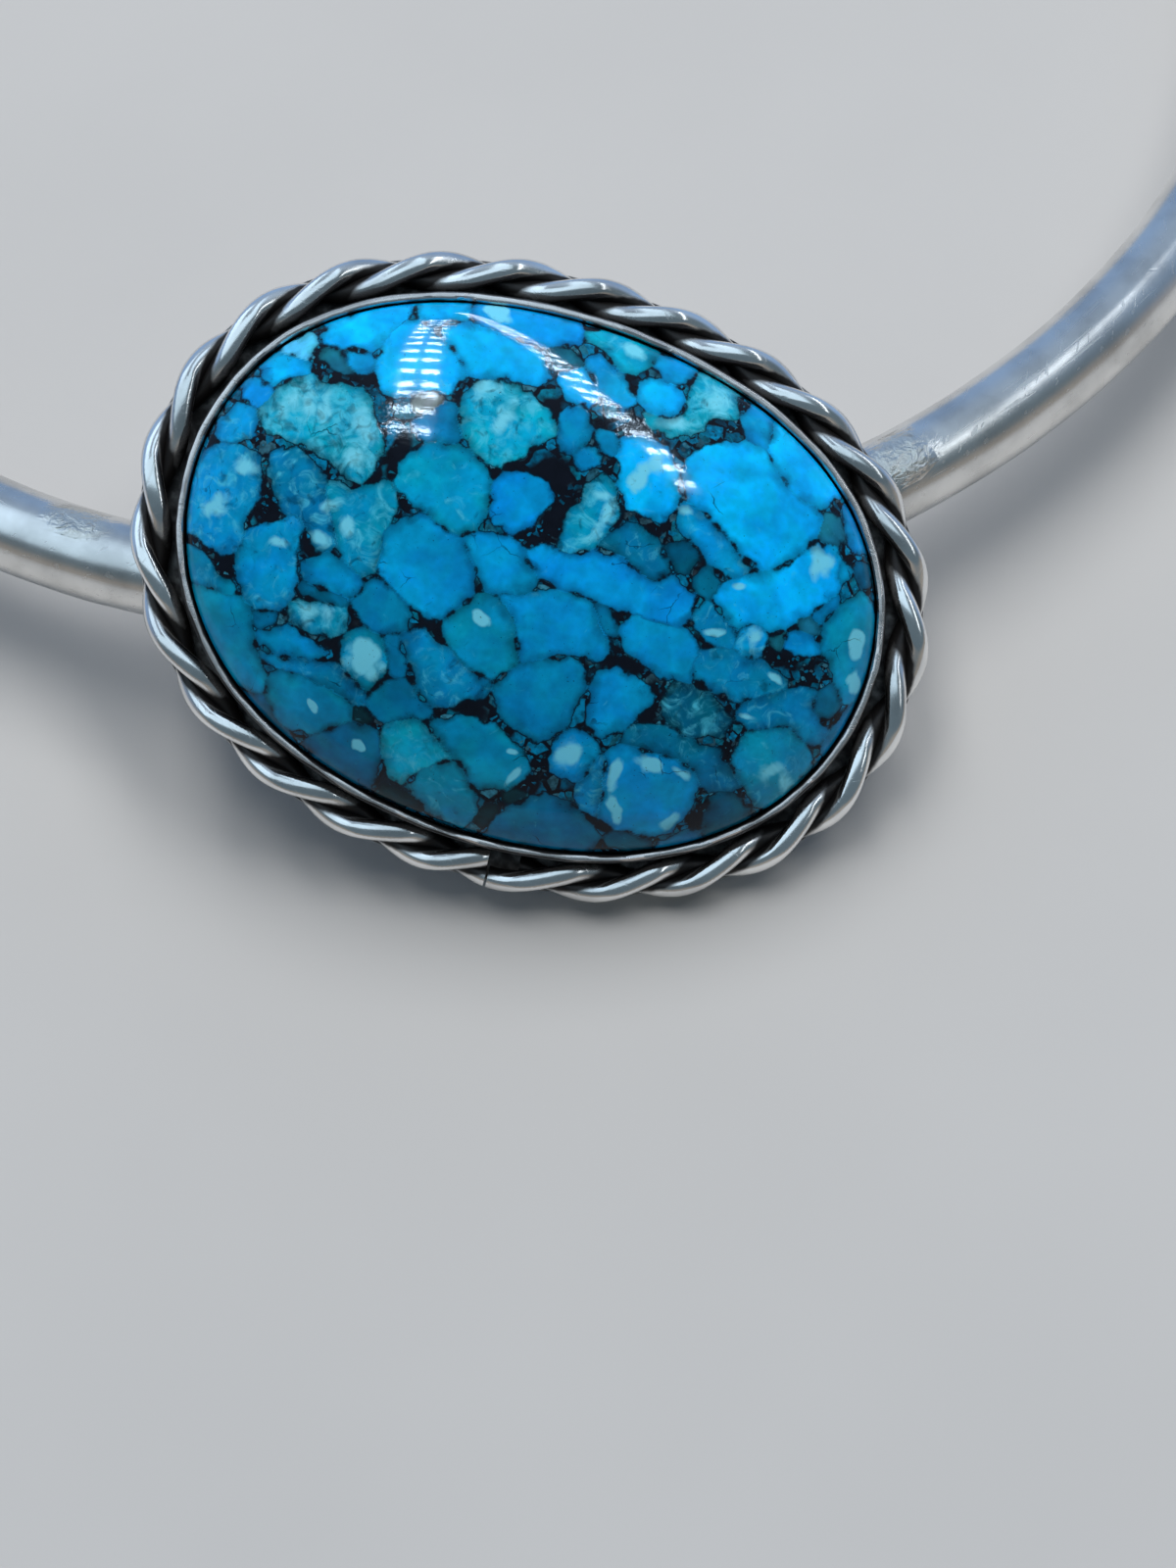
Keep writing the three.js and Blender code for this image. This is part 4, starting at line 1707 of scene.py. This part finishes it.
    Chip(Tint.MID, 0.15, ((5.6, -4.9), (6, -3.9), (6.8, -3.5), (8, -3.9), (8.7, -3.9), (9.2, -4.7),
        (8.7, -6), (8, -7.1), (7, -7.8), (6.3, -7.1), (5.8, -5.9))),
    Chip(Tint.OCEAN, 0.15, ((1, -5.4), (2.3, -4.7), (3, -4), (4, -3.9), (4.9, -4.2), (5.4, -5.4), (5.1, -6),
        (4.9, -7.2), (4.4, -8.4), (3.5, -9.2), (2.9, -9.1), (2.3, -8.7), (1.3, -8.6), (0.6, -7.8),
        (0.1, -7.2), (0.3, -6.4))),
    Chip(Tint.OCEAN, 0.45, ((-6.2, -5.7), (-5.4, -5.2), (-4, -5.5), (-2.6, -6), (-1.8, -6.5), (-0.6, -6.6),
        (-0.1, -7.4), (-0.8, -7.9), (-1.4, -8.3), (-2.3, -8.9), (-3.2, -9.1), (-4, -8.7), (-4.5, -8.1),
        (-5.2, -6.9), (-5.9, -6.4))),
    Chip(Tint.DEEP, 0.1, ((-7.1, -6.1), (-6.3, -6), (-5.9, -6.9), (-5.4, -8), (-6, -8.2), (-6.5, -7.6))),
    Chip(Tint.DEEP, 0.1, ((-6.5, -9.3), (-6.1, -8.6), (-5.4, -8.3), (-4.4, -8.7), (-3.2, -9.6),
        (-3.4, -10), (-4.2, -10.2), (-4.9, -10.7), (-5.8, -10.9), (-6.6, -10.7), (-7, -10.2))),
    Chip(Tint.TEAL, 0.15, ((-3, -10.2), (-1.8, -9.7), (-0.6, -9.2), (0.5, -9.1), (1.3, -9.5), (1.8, -10),
        (2.9, -10.2), (3.5, -10.9), (3.5, -11.7), (3, -12.4), (2, -12.8), (0.8, -12.9), (0.1, -12.4),
        (-0.9, -11.7), (-2.1, -10.9))),
    Chip(Tint.AQUA, 0.5, ((-5.4, -11.6), (-4.7, -10.9), (-3.7, -10.3), (-2.8, -10.9), (-2, -11.5),
        (-1.1, -11.9), (-1.8, -12.6), (-2.6, -13.3), (-3.2, -14.3), (-4.2, -14.1), (-4.8, -13.4),
        (-5.2, -12.4))),
    Chip(Tint.TEAL, 0.35, ((-3, -14.3), (-2.8, -13.4), (-1.8, -12.8), (-0.9, -12.2), (-0.2, -12.4),
        (0.3, -13.3), (1.1, -13.9), (1.5, -14.7), (1.1, -15.3), (0.8, -15.8), (-0.4, -15.8), (-1.6, -15.4),
        (-2.6, -14.8))),
    Chip(Tint.DEEP, 0.1, ((2.4, -15.3), (2.9, -14.3), (3.7, -13.3), (4.9, -12.4), (6.3, -12.4),
        (7.5, -12.8), (8, -12.9), (8.9, -13.6), (9.2, -14.3), (8.6, -15), (7, -15.3), (6.3, -15.7),
        (4, -16), (2.7, -16))),
    Chip(Tint.NIGHT, 0.1, ((-4.7, -15.2), (-3, -15.2), (-1.8, -15.3), (-1.8, -15.7), (-3.2, -15.8),
        (-4.6, -15.6))),
    Chip(Tint.MID, 0.3, ((4.6, -9.6), (4.8, -8.6), (5.5, -8.1), (6.5, -7.9), (7.3, -8.4), (7.6, -9.4),
        (7.4, -10.4), (6.6, -10.8), (5.6, -10.8), (4.9, -10.4))),
    Chip(Tint.MID, 0.5, ((7.2, -8.7), (7.9, -9), (8.1, -10), (8.2, -11), (8.6, -12), (8.4, -12.6),
        (7.4, -12), (6.8, -11.2))),
    Chip(Tint.MID, 0.15, ((7.8, -8.3), (8.9, -7.8), (10.4, -7.7), (12.2, -7.7), (13.4, -7.9), (13.9, -8.8),
        (13.7, -9.8), (13.6, -10.9), (13.2, -11.9), (12.3, -12.6), (11, -12.6), (9.8, -12.8), (8.9, -12.6),
        (8.5, -11.5), (8.4, -10.2), (8, -9.1))),
    Chip(Tint.DEEP, 0.35, ((8.7, -6.5), (9.9, -6), (11.3, -6), (12.7, -6.4), (14.2, -6.2), (14.8, -6.9),
        (15.6, -7.2), (16.6, -8), (15.3, -8.4), (14.2, -8.6), (13.7, -8), (12.5, -7.5), (11.1, -7.5),
        (9.6, -7.6), (8.6, -7.7))),
    Chip(Tint.DUSK, 0.1, ((15.1, -9), (16, -8.5), (16.8, -8.7), (17.5, -9.5), (17.3, -10.2), (16.3, -11),
        (15.4, -11.7), (15.2, -10.7))),
    Chip(Tint.TEAL, 0.35, ((15.4, -5.6), (16, -4.7), (17, -3.9), (18.2, -3.7), (19.2, -4.2), (20.1, -5),
        (19.8, -6.5), (19.4, -7.6), (18.7, -8.7), (18, -8.7), (17.2, -8.3), (16.3, -7.6), (15.4, -6.5))),
    Chip(Tint.OCEAN, 0.1, ((12.7, -13.1), (13.9, -11.9), (14.9, -11.4), (15.4, -11.9), (14.2, -12.8),
        (13, -13.4))),
    Chip(Tint.DUSK, 0.1, ((9.6, -13.3), (11, -12.9), (12.3, -13), (12.2, -13.6), (11, -14), (9.8, -14.1))),
    Chip(Tint.BRIGHT, 0.15, ((11, 2.8), (11.3, 3.6), (12.7, 4.5), (14.1, 5.1), (14.4, 5.4), (15.3, 6.6),
        (16.1, 7.5), (17, 7.8), (17.7, 7), (17.9, 5.8), (17.9, 5.5), (17.4, 4.2), (16.3, 3), (15.9, 2.4),
        (15.1, 1.8), (13.9, 1.9), (13.1, 1.3), (12.2, 1.5), (11.2, 2.2))),
    Chip(Tint.BRIGHT, 0.1, ((6.9, 8.6), (7, 10.2), (8, 11.3), (9.4, 11.9), (11.1, 12), (11.9, 11.5),
        (12.7, 10.6), (13.7, 10), (14.9, 9.8), (15.6, 9.2), (15.8, 8.2), (15.3, 7.1), (14.5, 6),
        (13.5, 5.3), (12.3, 5.3), (10.9, 6.1), (9.7, 6.8), (8, 7.5))),
    Chip(Tint.MID, 0.35, ((7.3, 7.2), (8.6, 7.2), (10.1, 6.5), (12, 5.2), (12.7, 5), (11.8, 4.2),
        (11, 3.9), (9.9, 4.6), (8.9, 5.5), (7.9, 5.8), (7.3, 6.1))),
    Chip(Tint.BRIGHT, 0.1, ((11.1, 14.1), (12.7, 14.2), (13.9, 13.5), (15.3, 12.5), (16.1, 11.6),
        (16.6, 10.9), (15.6, 10.2), (14.4, 9.9), (13.6, 10.1), (12.7, 10.6), (11.8, 11.6), (11.4, 12.5))),
    Chip(Tint.MID, 0.2, ((9.3, 13.9), (9.9, 14.6), (11.1, 14.4), (11.1, 13.5), (11.3, 12.5), (10.4, 12.3),
        (9.6, 12.8))),
    Chip(Tint.AZURE, 0.1, ((17, 10.9), (17.7, 10.1), (18.6, 9.2), (19.2, 8.2), (18.7, 8), (17.9, 8.5),
        (17.3, 9.6))),
    Chip(Tint.SLATE, 0.2, ((16.1, 9.8), (17, 9.4), (17.5, 8.7), (17, 8.1), (16.1, 8.1), (16, 8.9))),
    Chip(Tint.MID, 0.1, ((17.9, 7.2), (18.6, 7), (18.7, 6.3), (18, 6))),
    Chip(Tint.BRIGHT, 0.1, ((2.4, 13.2), (3.3, 14), (4.4, 13.9), (5.2, 13.6), (5.6, 12.6), (5, 11.9),
        (3.9, 12), (2.9, 12.3))),
    Chip(Tint.AQUA, 0.6, ((5.7, 14.2), (5.9, 15), (6.6, 15.7), (8, 15.3), (8.4, 14.8), (8.7, 14),
        (8.5, 13.2), (7.2, 13), (6.8, 12.2), (6.6, 11.6), (5.5, 11.1), (4, 11.3), (3.2, 11.8), (4.5, 11.8),
        (5.5, 12.3), (5.8, 13.2))),
    Chip(Tint.MID, 0.1, ((3.2, 15.4), (3.9, 15.9), (4.9, 15.9), (5.5, 15.2), (5.1, 14.4), (4, 14.1),
        (3.4, 14.6))),
    Chip(Tint.AQUA, 0.35, ((-1.4, 15.4), (-0.4, 15.9), (1.6, 16.1), (3, 15.8), (3, 15.1), (2.2, 14.2),
        (1.3, 13.8), (0.5, 14.1), (-0.1, 14.9), (-1.1, 15))),
    Chip(Tint.MID, 0.3, ((-1.1, 13.7), (-0.2, 14.2), (1, 13.7), (1.8, 13), (2.7, 12.2), (2.3, 11.6),
        (1.1, 11.9), (0.3, 12.3))),
    Chip(Tint.BRIGHT, 0.3, ((2.7, 9.9), (4, 10.3), (5.3, 10.1), (6.1, 9.2), (6.8, 7.8), (7, 6.8), (6.5, 6.1),
        (5.3, 5.8), (4.2, 6.1), (3.5, 7.2), (3, 8.2), (2.7, 9.1))),
    Chip(Tint.OCEAN, 0.1, ((0.3, 8.4), (1, 8.7), (1.6, 8.2), (1.1, 7.5), (0.6, 7.2), (0.3, 7.5))),
    Chip(Tint.OCEAN, 0.1, ((1, 9.4), (1.6, 9.8), (2.5, 9.5), (2.5, 8.9), (1.6, 8.9))),
    Chip(Tint.OCEAN, 0.35, ((10.2, 1.3), (10.4, 1.9), (11, 1.9), (12, 1.3), (12.9, 0.8), (12.9, 0.1),
        (12.2, -0.2), (11.3, -0.1), (10.6, 0.7))),
    Chip(Tint.MID, 0.5, ((13.1, 0.8), (13.4, 1.5), (14.1, 1.8), (14.8, 1.3), (14.8, 0.5), (14.4, -0.1),
        (13.4, 0.1))),
    Chip(Tint.AZURE, 0.1, ((16.1, 1.9), (16.6, 2.3), (17.7, 2.2), (18.1, 1.7), (17.7, 1), (16.6, 0.9),
        (16.1, 1.2))),
    Chip(Tint.SLATE, 0.1, ((15.2, 1.5), (15.8, 2), (16, 1.4), (15.8, 0.8), (15.3, 0.9))),
    Chip(Tint.TEAL, 0.1, ((18, 2.2), (18.2, 3.4), (18.6, 4.6), (19.4, 5.5), (20.3, 5.5), (21, 4.6),
        (21.5, 3), (21.8, 1.5), (21.9, 0.3), (21.5, -0.6), (20.8, -0.9), (20.1, -0.4), (19.4, 0.7),
        (18.7, 1.5))),
    Chip(Tint.SLATE, 0.1, ((16.2, 2.9), (17.2, 3.1), (18, 2.6), (17.9, 2.3), (16.8, 2.4))),
    Chip(Tint.MID, 0.2, ((17.2, 3.4), (17.7, 4.4), (18.2, 5.1), (18.2, 4.3), (17.9, 3.2))),
    Chip(Tint.MID, 0.1, ((7, -0.1), (8.4, -0.1), (9.8, -0.1), (10.8, -0.4), (11, -1.2), (11.2, -2.1),
        (11, -2.9), (9.9, -2.9), (8.9, -2.8), (8, -2.4), (7.3, -2.2), (7, -2.1), (6.3, -1.2), (6.7, -0.4))),
    Chip(Tint.OCEAN, 0.35, ((11.1, -1.6), (11.3, -0.8), (12.2, -0.4), (13.6, -0.3), (14.8, -0.4),
        (16.3, -0.5), (17, -0.9), (16.5, -1.6), (15.8, -2.1), (14.6, -2.7), (13.6, -2.9), (12.2, -2.5),
        (11.3, -2.3))),
    Chip(Tint.OCEAN, 0.35, ((14.6, -3.3), (15.3, -2.8), (16.3, -2.1), (17.4, -1.2), (18.4, -0.8),
        (18.9, -1.1), (19.1, -1.9), (19.8, -2.8), (20.4, -3.1), (20.2, -4), (19.4, -4), (18.2, -3.5),
        (17.2, -3.5), (16.1, -4.2), (15.1, -4))),
    Chip(Tint.DEEP, 0.1, ((19, -1.2), (19.4, -0.4), (19.9, -0.1), (20.5, -0.9), (20.4, -1.8), (19.8, -2.3),
        (19.2, -2.1))),
    Chip(Tint.MID, 0.3, ((21.3, -1.1), (21.6, -1.1), (21.5, -2.5), (21.2, -3.9), (20.6, -4.2),
        (20.6, -3.3), (21, -2.3))),
    Chip(Tint.DUSK, 0.55, ((10.1, -3.3), (11.3, -3), (12.7, -3.2), (13.7, -3.9), (14.6, -4.4), (14.2, -5),
        (13.4, -5.4), (12.2, -6), (11, -5.6), (10.3, -4.7))),
    Chip(Tint.DEEP, 0.1, ((9.6, 3.6), (10.1, 4.2), (10.9, 3.8), (11, 3), (10.6, 2.4), (9.9, 2.5))),
    Chip(Tint.DUSK, 0.1, ((7.2, 4.6), (8.3, 5), (9, 4.6), (9.2, 3.8), (8.6, 3.3), (7.8, 3.5), (7.1, 3.9))),
    Chip(Tint.DEEP, 0.1, ((4.2, -0.3), (5, -0.2), (5.7, -0.9), (6, -1.9), (5.3, -1.7), (4.7, -1))),
    Chip(Tint.OCEAN, 0.1, ((-9.4, -3.9), (-8.9, -3.3), (-8, -3.1), (-7.3, -3.3), (-6.5, -4), (-6, -4.7),
        (-6.3, -5.4), (-7.5, -5.7), (-8.2, -5.9), (-9.2, -5.2), (-9.6, -4.5))),
    Chip(Tint.DEEP, 0.1, ((18.9, 7.6), (19.6, 7.2), (20, 6.3), (19.4, 6.1), (18.9, 6.7))),
    Chip(Tint.SLATE, 0.1, ((-3.3, 13.9), (-2.1, 13.9), (-1.2, 13.7), (-1.3, 13.2), (-2.5, 13.1),
        (-3.2, 13.3))),
    Chip(Tint.NIGHT, 0.1, ((-7.6, -10.8), (-6.9, -10.9), (-6.4, -11.3), (-7, -11.7), (-7.6, -11.5))),
    Chip(Tint.NIGHT, 0.1, ((1.9, -14.2), (2.7, -13.9), (2.6, -14.9), (2.2, -15.6), (1.7, -15.2))),
    Chip(Tint.NIGHT, 0.1, ((2.8, -13.1), (3.4, -12.6), (4.2, -12.6), (3.5, -13.3))),
)


# ---- The stone ----


def inside_depth(corners: np.ndarray, x: np.ndarray, y: np.ndarray, furthest: float) -> np.ndarray:
    """How far inside a closed outline each place lies.

    Args:
        corners: The outline, one row a corner.
        x: The places' first coordinates.
        y: Their second coordinates.
        furthest: How far outside it is worked out to.

    Returns:
        The distance to the outline, below 0 outside it.
    """
    low, high = corners.min(0) - furthest, corners.max(0) + furthest
    near = (x > low[0]) & (x < high[0]) & (y > low[1]) & (y < high[1])
    px, py = x[near], y[near]
    closest = np.full(len(px), furthest)
    inside = np.zeros(len(px), bool)
    for (ax, ay), (bx, by) in zip(corners, np.roll(corners, -1, axis=0)):
        dx, dy = bx - ax, by - ay
        share = np.clip(((px - ax) * dx + (py - ay) * dy) / (dx * dx + dy * dy + 1e-12), 0, 1)
        closest = np.minimum(closest, np.hypot(px - ax - share * dx, py - ay - share * dy))
        if dy:
            inside ^= ((ay > py) != (by > py)) & (px < dx * (py - ay) / dy + ax)
    depth = np.full(len(x), -furthest)
    depth[near] = np.where(inside, closest, -closest)
    return depth


@dataclass
class Cabochon(Part):
    """The domed stone, with its chips charted on it.

    The warps make the charted outlines wander, and the seed steps set each chip's clouds apart from its
    neighbours'.
    """

    oval: Oval = Oval(21.95, 16.25)
    base: float = 1.3
    shoulder: float = 4.8
    apex: float = 9.7
    roundness: float = 2.2
    fall: float = 0.62
    columns: int = 330
    rows: int = 250
    joint: float = 0.04
    spread: float = 0.16
    furthest: float = 1.6
    warps: tuple[Ripple, ...] = (Ripple(0.16, 1.3, 3.5), Ripple(0.07, 0.5, 6.5))
    warp_shift: float = 10
    seed_steps: tuple[tuple[float, int], ...] = ((7.3, 17), (3.1, 5))

    def build(self) -> list[Piece]:
        """Draws a square net out to the oval, domes it, and carries its rim down to the base.

        Returns:
            The closed mesh with its chart, in the setting's frame.
        """
        bpy.ops.mesh.primitive_grid_add(x_subdivisions=self.columns, y_subdivisions=self.rows, size=2)
        stone = new_piece("turquoise_cabochon")
        x, y = places(stone)[:, 0], places(stone)[:, 1]
        across, up = x * np.sqrt(1 - y * y / 2), y * np.sqrt(1 - x * x / 2)
        outline = self.oval.reach(np.arctan2(up, across))
        share_out = np.clip(np.hypot(across, up), 0, 1)
        height = self.shoulder + (self.apex - self.shoulder) * (1 - share_out**self.roundness) ** self.fall
        length, width = self.oval.half_length, self.oval.half_width
        set_places(stone, np.column_stack([length * across * outline, width * up * outline, height]))
        with editing(stone):
            pick_open_edges()
            extrude((0, 0, self.base - self.shoulder))
            close_ends()
        self.chart(stone)
        return [stone]

    def wandering(self, rows: np.ndarray, axis: int) -> np.ndarray:
        """One coordinate of each place, moved to and fro along the stone.

        Args:
            rows: Places in the setting's frame, one row each.
            axis: Which coordinate.

        Returns:
            One number for each place.
        """
        moved = rows[:, axis]
        for ripple in self.warps:
            moved = moved + ripple.over(rows * (1, 1, 0), self.warp_shift * axis)
        return moved

    def chart(self, stone: Piece) -> None:
        """Keeps, for each corner of the mesh, what the stone is made of there.

        Args:
            stone: The stone's mesh, in the setting's frame.
        """
        rows = places(stone)
        x, y = (self.wandering(rows, axis) for axis in (0, 1))
        nearest = np.full(len(rows), -self.furthest)
        second = nearest.copy()
        owner = np.zeros(len(rows), int)
        for number, chip in enumerate(CHIPS):
            inside = inside_depth(chip.corners(), x, y, self.furthest)
            wins = inside > nearest
            second = np.where(wins, nearest, np.maximum(second, inside))
            nearest = np.where(wins, inside, nearest)
            owner[wins] = number
        store(stone, "own", rows)
        store(stone, "edge", np.minimum(nearest + self.spread, (nearest - second) / 2 - self.joint))
        store(stone, "tint", np.array([chip.tint.value for chip in CHIPS])[owner])
        store(stone, "mottle", np.array([chip.mottle for chip in CHIPS])[owner])
        store(stone, "seed", sum(step * (owner % cycle) for step, cycle in self.seed_steps))
        for name, spots in (("pale", PALE_SPOTS), ("pocket", DARK_POCKETS)):
            store(stone, name, np.max([spot.depth(x, y) for spot in spots], axis=0))


# ---- Studio ----


class Beam(Enum):
    """What a light is for, by its usual tint: to light everything unseen, or to be mirrored by one part."""

    FILL = (1, 1, 1)
    ON_SILVER = (0.88, 0.95, 1.0)
    ON_STONE = (0.62, 0.81, 1.0)


@dataclass(frozen=True)
class Strip:
    """A level light strip: its purpose, its ends and width in metres, and how bright its face looks.

    Lamps says how far apart its small lamps are along it and across it, in metres; None is an even light.
    """

    beam: Beam
    ends: tuple[Point, Point]
    width: float
    glow: float
    lamps: Point | None = None


@dataclass
class Studio:
    """A pale floor, overhead light strips in a soft room, and the camera."""

    assembly: Assembly
    silver: list[Piece]
    stones: list[Piece]
    floor: PaleFloor = PaleFloor()
    floor_radius: float = 4
    floor_sides: int = 96
    camera_distance: float = 215
    camera_roll: float = math.radians(7.2)
    aim_left: float = math.radians(0.966)
    aim_up: float = math.radians(3.409)
    target_height: float = 3.7
    lens: float = 79.2
    nearest: float = 0.01
    strip_height: float = 1.0
    gleam_drop: float = 0.02
    strips: tuple[Strip, ...] = (
        Strip(Beam.FILL, ((-0.16, -0.20), (-0.10, 0.95)), 0.3, 6.3),
        Strip(Beam.FILL, ((0.52, -0.26), (0.15, 0.92)), 0.3, 6.3),
        Strip(Beam.ON_SILVER, ((0.72, -0.9), (0.65, 0.35)), 0.12, 2.4),
        Strip(Beam.ON_STONE, ((-0.15, -0.21), (-0.08, 0.0)), 0.12, 22, lamps=(0.085, 0.06)),
        Strip(Beam.ON_STONE, ((-0.08, 0.0), (0.09, 0.9)), 0.12, 22, lamps=(0.085, 0.06)),
        Strip(Beam.ON_STONE, ((0.44, -0.29), (0.325, 0.09)), 0.07, 28, lamps=(0.07, 0.035)),
        Strip(Beam.ON_STONE, ((0.325, 0.09), (0.25, 1.5)), 0.07, 28, lamps=(0.07, 0.035)),
    )
    lamp_glow: float = 4.2
    lamp_ground: float = 0.12
    lamp_ends: Range = (0.32, 0.38)
    lamp_sides: Range = (0.1, 0.2)
    skylight_middle: Point = (-0.485, 0.065)
    skylight_size: Point = (1.57, 1.37)
    skylight_glow: float = 0.85
    skylight_tint: Colour = (0.66, 0.85, 1.0)
    window_side: Colour = (0.25, 0.38, 0.60)
    overhead: Colour = (0.30, 0.38, 0.48)
    overhead_from: Range = (0.3, 1.0)
    dim_side: Colour = (0.10, 0.14, 0.17)
    low_wall: Colour = (0.27, 0.25, 0.225)
    wall_up_to: Range = (0.12, 0.42)
    window_from: Range = (-0.35, 0.3)

    def make_floor(self) -> None:
        """Lays the floor."""
        sides, radius = self.floor_sides, self.floor_radius
        bpy.ops.mesh.primitive_circle_add(vertices=sides, radius=radius, fill_type="NGON")
        floor = new_piece("floor")
        floor.data.materials.append(self.floor.material())

    def make_light(
        self, beam: Beam, place: Vector, turn: Euler, size: Point, glow: float, tint: Colour
    ) -> bpy.types.AreaLight:
        """Hangs one soft rectangular light.

        Args:
            beam: What it is for.
            place: Its middle, in metres.
            turn: How it is turned from facing down, its length along X.
            size: Its length and width, in metres.
            glow: How bright its face looks.
            tint: Its colour.

        Returns:
            Its settings.
        """
        data = bpy.data.lights.new(beam.name.lower(), "AREA")
        data.shape = "RECTANGLE"
        data.size, data.size_y = size
        data.energy = glow * math.pi * size[0] * size[1]
        data.color = tint
        light = bpy.data.objects.new(data.name, data)
        light.location = place
        light.rotation_euler = turn
        light.visible_diffuse = beam is Beam.FILL
        light.visible_glossy = beam is not Beam.FILL
        if beam is not Beam.FILL:
            lit = bpy.data.collections.new(f"lit_{data.name}")
            for piece in self.silver if beam is Beam.ON_SILVER else self.stones:
                lit.objects.link(piece)
            light.light_linking.receiver_collection = lit
        bpy.context.collection.objects.link(light)
        return data

    def lay_lamps(self, data: bpy.types.AreaLight, pitch: Point) -> None:
        """Makes a light shine as rows of small lamps over a dimmer ground.

        Args:
            data: The light's settings.
            pitch: How far apart the lamps are along its length and across it, in metres.
        """
        data.use_nodes = True
        data.node_tree.nodes.clear()
        nodes = Nodes(data.node_tree)
        parts = nodes.add("SeparateXYZ", {0: nodes.add("NewGeometry").outputs["Parametric"]}).outputs
        along = nodes.maths("PINGPONG", nodes.product(parts[0], data.size / pitch[0]), 0.5)
        across = nodes.maths("PINGPONG", nodes.product(parts[1], data.size_y / pitch[1]), 0.5)
        lamp = nodes.product(nodes.between(along, *self.lamp_ends), nodes.between(across, *self.lamp_sides))
        shine = nodes.line(lamp, self.lamp_glow, self.lamp_ground)
        emission = nodes.add("Emission", {"Color": (*data.color, 1), "Strength": shine})
        nodes.add("OutputLight", {"Surface": emission.outputs[0]})
        data.color = (1, 1, 1)

    def make_strip(self, strip: Strip) -> None:
        """Hangs one light strip over the choker, a little lower if it is there to be mirrored.

        Args:
            strip: Which strip.
        """
        near, far = (Vector((*end, 0)) for end in strip.ends)
        along = far - near
        drop = 0 if strip.beam is Beam.FILL else self.gleam_drop
        place = (near + far) / 2 + Vector((0, 0, self.strip_height - drop))
        turn = Euler((0, 0, math.atan2(along.y, along.x)))
        size = (along.length, strip.width)
        data = self.make_light(strip.beam, place, turn, size, strip.glow, strip.beam.value)
        if strip.lamps:
            self.lay_lamps(data, strip.lamps)

    def make_skylight(self) -> None:
        """Hangs a broad soft light high on the left, which only the silver mirrors."""
        place = Vector((*self.skylight_middle, self.strip_height))
        look = (self.skylight_size, self.skylight_glow, self.skylight_tint)
        self.make_light(Beam.ON_SILVER, place, Euler(), *look)

    def make_room(self) -> None:
        """Lights the room softly: bluish from the far side, dim on the near side above a low pale wall."""
        world = bpy.data.worlds.new("room")
        world.use_nodes = True
        world.node_tree.nodes.clear()
        nodes = Nodes(world.node_tree)
        direction = nodes.add("TexCoord").outputs["Generated"]
        parts = nodes.add("SeparateXYZ", {0: direction}).outputs
        near = nodes.blend(nodes.between(parts[2], *self.wall_up_to), self.low_wall, self.dim_side)
        far = nodes.blend(nodes.between(parts[2], *self.overhead_from), self.window_side, self.overhead)
        whole = nodes.blend(nodes.between(parts[1], *self.window_from), near, far)
        back = nodes.add("Background", {"Color": whole, "Strength": 1.0})
        nodes.add("OutputWorld", {"Surface": back.outputs[0]})
        bpy.context.scene.world = world

    def make_camera(self) -> None:
        """Sets the camera over the stone, looking down its axis, rolled and aimed a little aside."""
        normal, uphill = self.assembly.normal, self.assembly.uphill
        level = Vector((1, 0, 0))
        cosine, sine = math.cos(self.camera_roll), math.sin(self.camera_roll)
        axes = Matrix.Identity(3)
        axes.col[0] = cosine * level - sine * uphill
        axes.col[1] = sine * level + cosine * uphill
        axes.col[2] = normal
        aim = Vector((-math.tan(self.aim_left), math.tan(self.aim_up), -1)).normalized()
        turned = axes @ aim.rotation_difference(Vector((0, 0, -1))).to_matrix()
        target = self.assembly.plate_centre + self.target_height * normal
        data = bpy.data.cameras.new("camera")
        data.lens = self.lens
        data.sensor_fit = "AUTO"
        data.clip_start = self.nearest
        camera = bpy.data.objects.new("camera", data)
        camera.location = (target + self.camera_distance * normal) * MM
        camera.rotation_euler = turned.to_euler()
        bpy.context.collection.objects.link(camera)
        bpy.context.scene.camera = camera

    def make(self) -> None:
        """Builds the whole studio."""
        self.make_floor()
        self.make_room()
        for strip in self.strips:
            self.make_strip(strip)
        self.make_skylight()
        self.make_camera()


# ---- The choker ----


def main() -> None:
    """Builds the choker part by part, then the studio, and reports."""
    logging.basicConfig(level=logging.INFO, format="%(name)s: %(message)s")
    bpy.context.scene.view_settings.view_transform = "Standard"
    bpy.ops.object.select_all(action="DESELECT")
    assembly = Assembly()
    effects = SilverEffects()
    satin = Silver("satin_silver", effects, roughness=0.25, scratch_depth=0.006)
    sheet = Silver("plate_silver", effects, roughness=0.33, stretch=3)
    burnished = Silver(
        "bezel_silver", effects, colour=(0.80, 0.755, 0.73), roughness=0.27, stretch=4, scratch_depth=0.02
    )
    bright = Silver("twisted_silver", effects, colour=(0.95, 0.95, 0.94), roughness=0.17, stretch=10)
    solder = Silver("solder", effects, colour=(0.75, 0.74, 0.70), roughness=0.3, stretch=1)
    parts = (
        CollarWire(assembly, satin),
        BackPlate(assembly, sheet),
        BezelStrip(assembly, burnished),
        TwistedBorder(assembly, bright),
        SolderSeams(assembly, solder),
    )
    silver = [piece for part in parts for piece in part.make("silver")]
    stones = Cabochon(assembly, CompositeTurquoise()).make("turquoise")
    for piece in silver:
        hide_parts(SILVER_NODE)
    for piece in stones:
        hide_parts(STONE_NODE)
    for piece in silver + stones:
        piece.data.calc_loop_triangles()
        LOG.info("%s: %d triangles", piece.name, len(piece.data.loop_triangles))
    Studio(assembly, silver, stones).make()


if __name__ == "__main__":
    main()
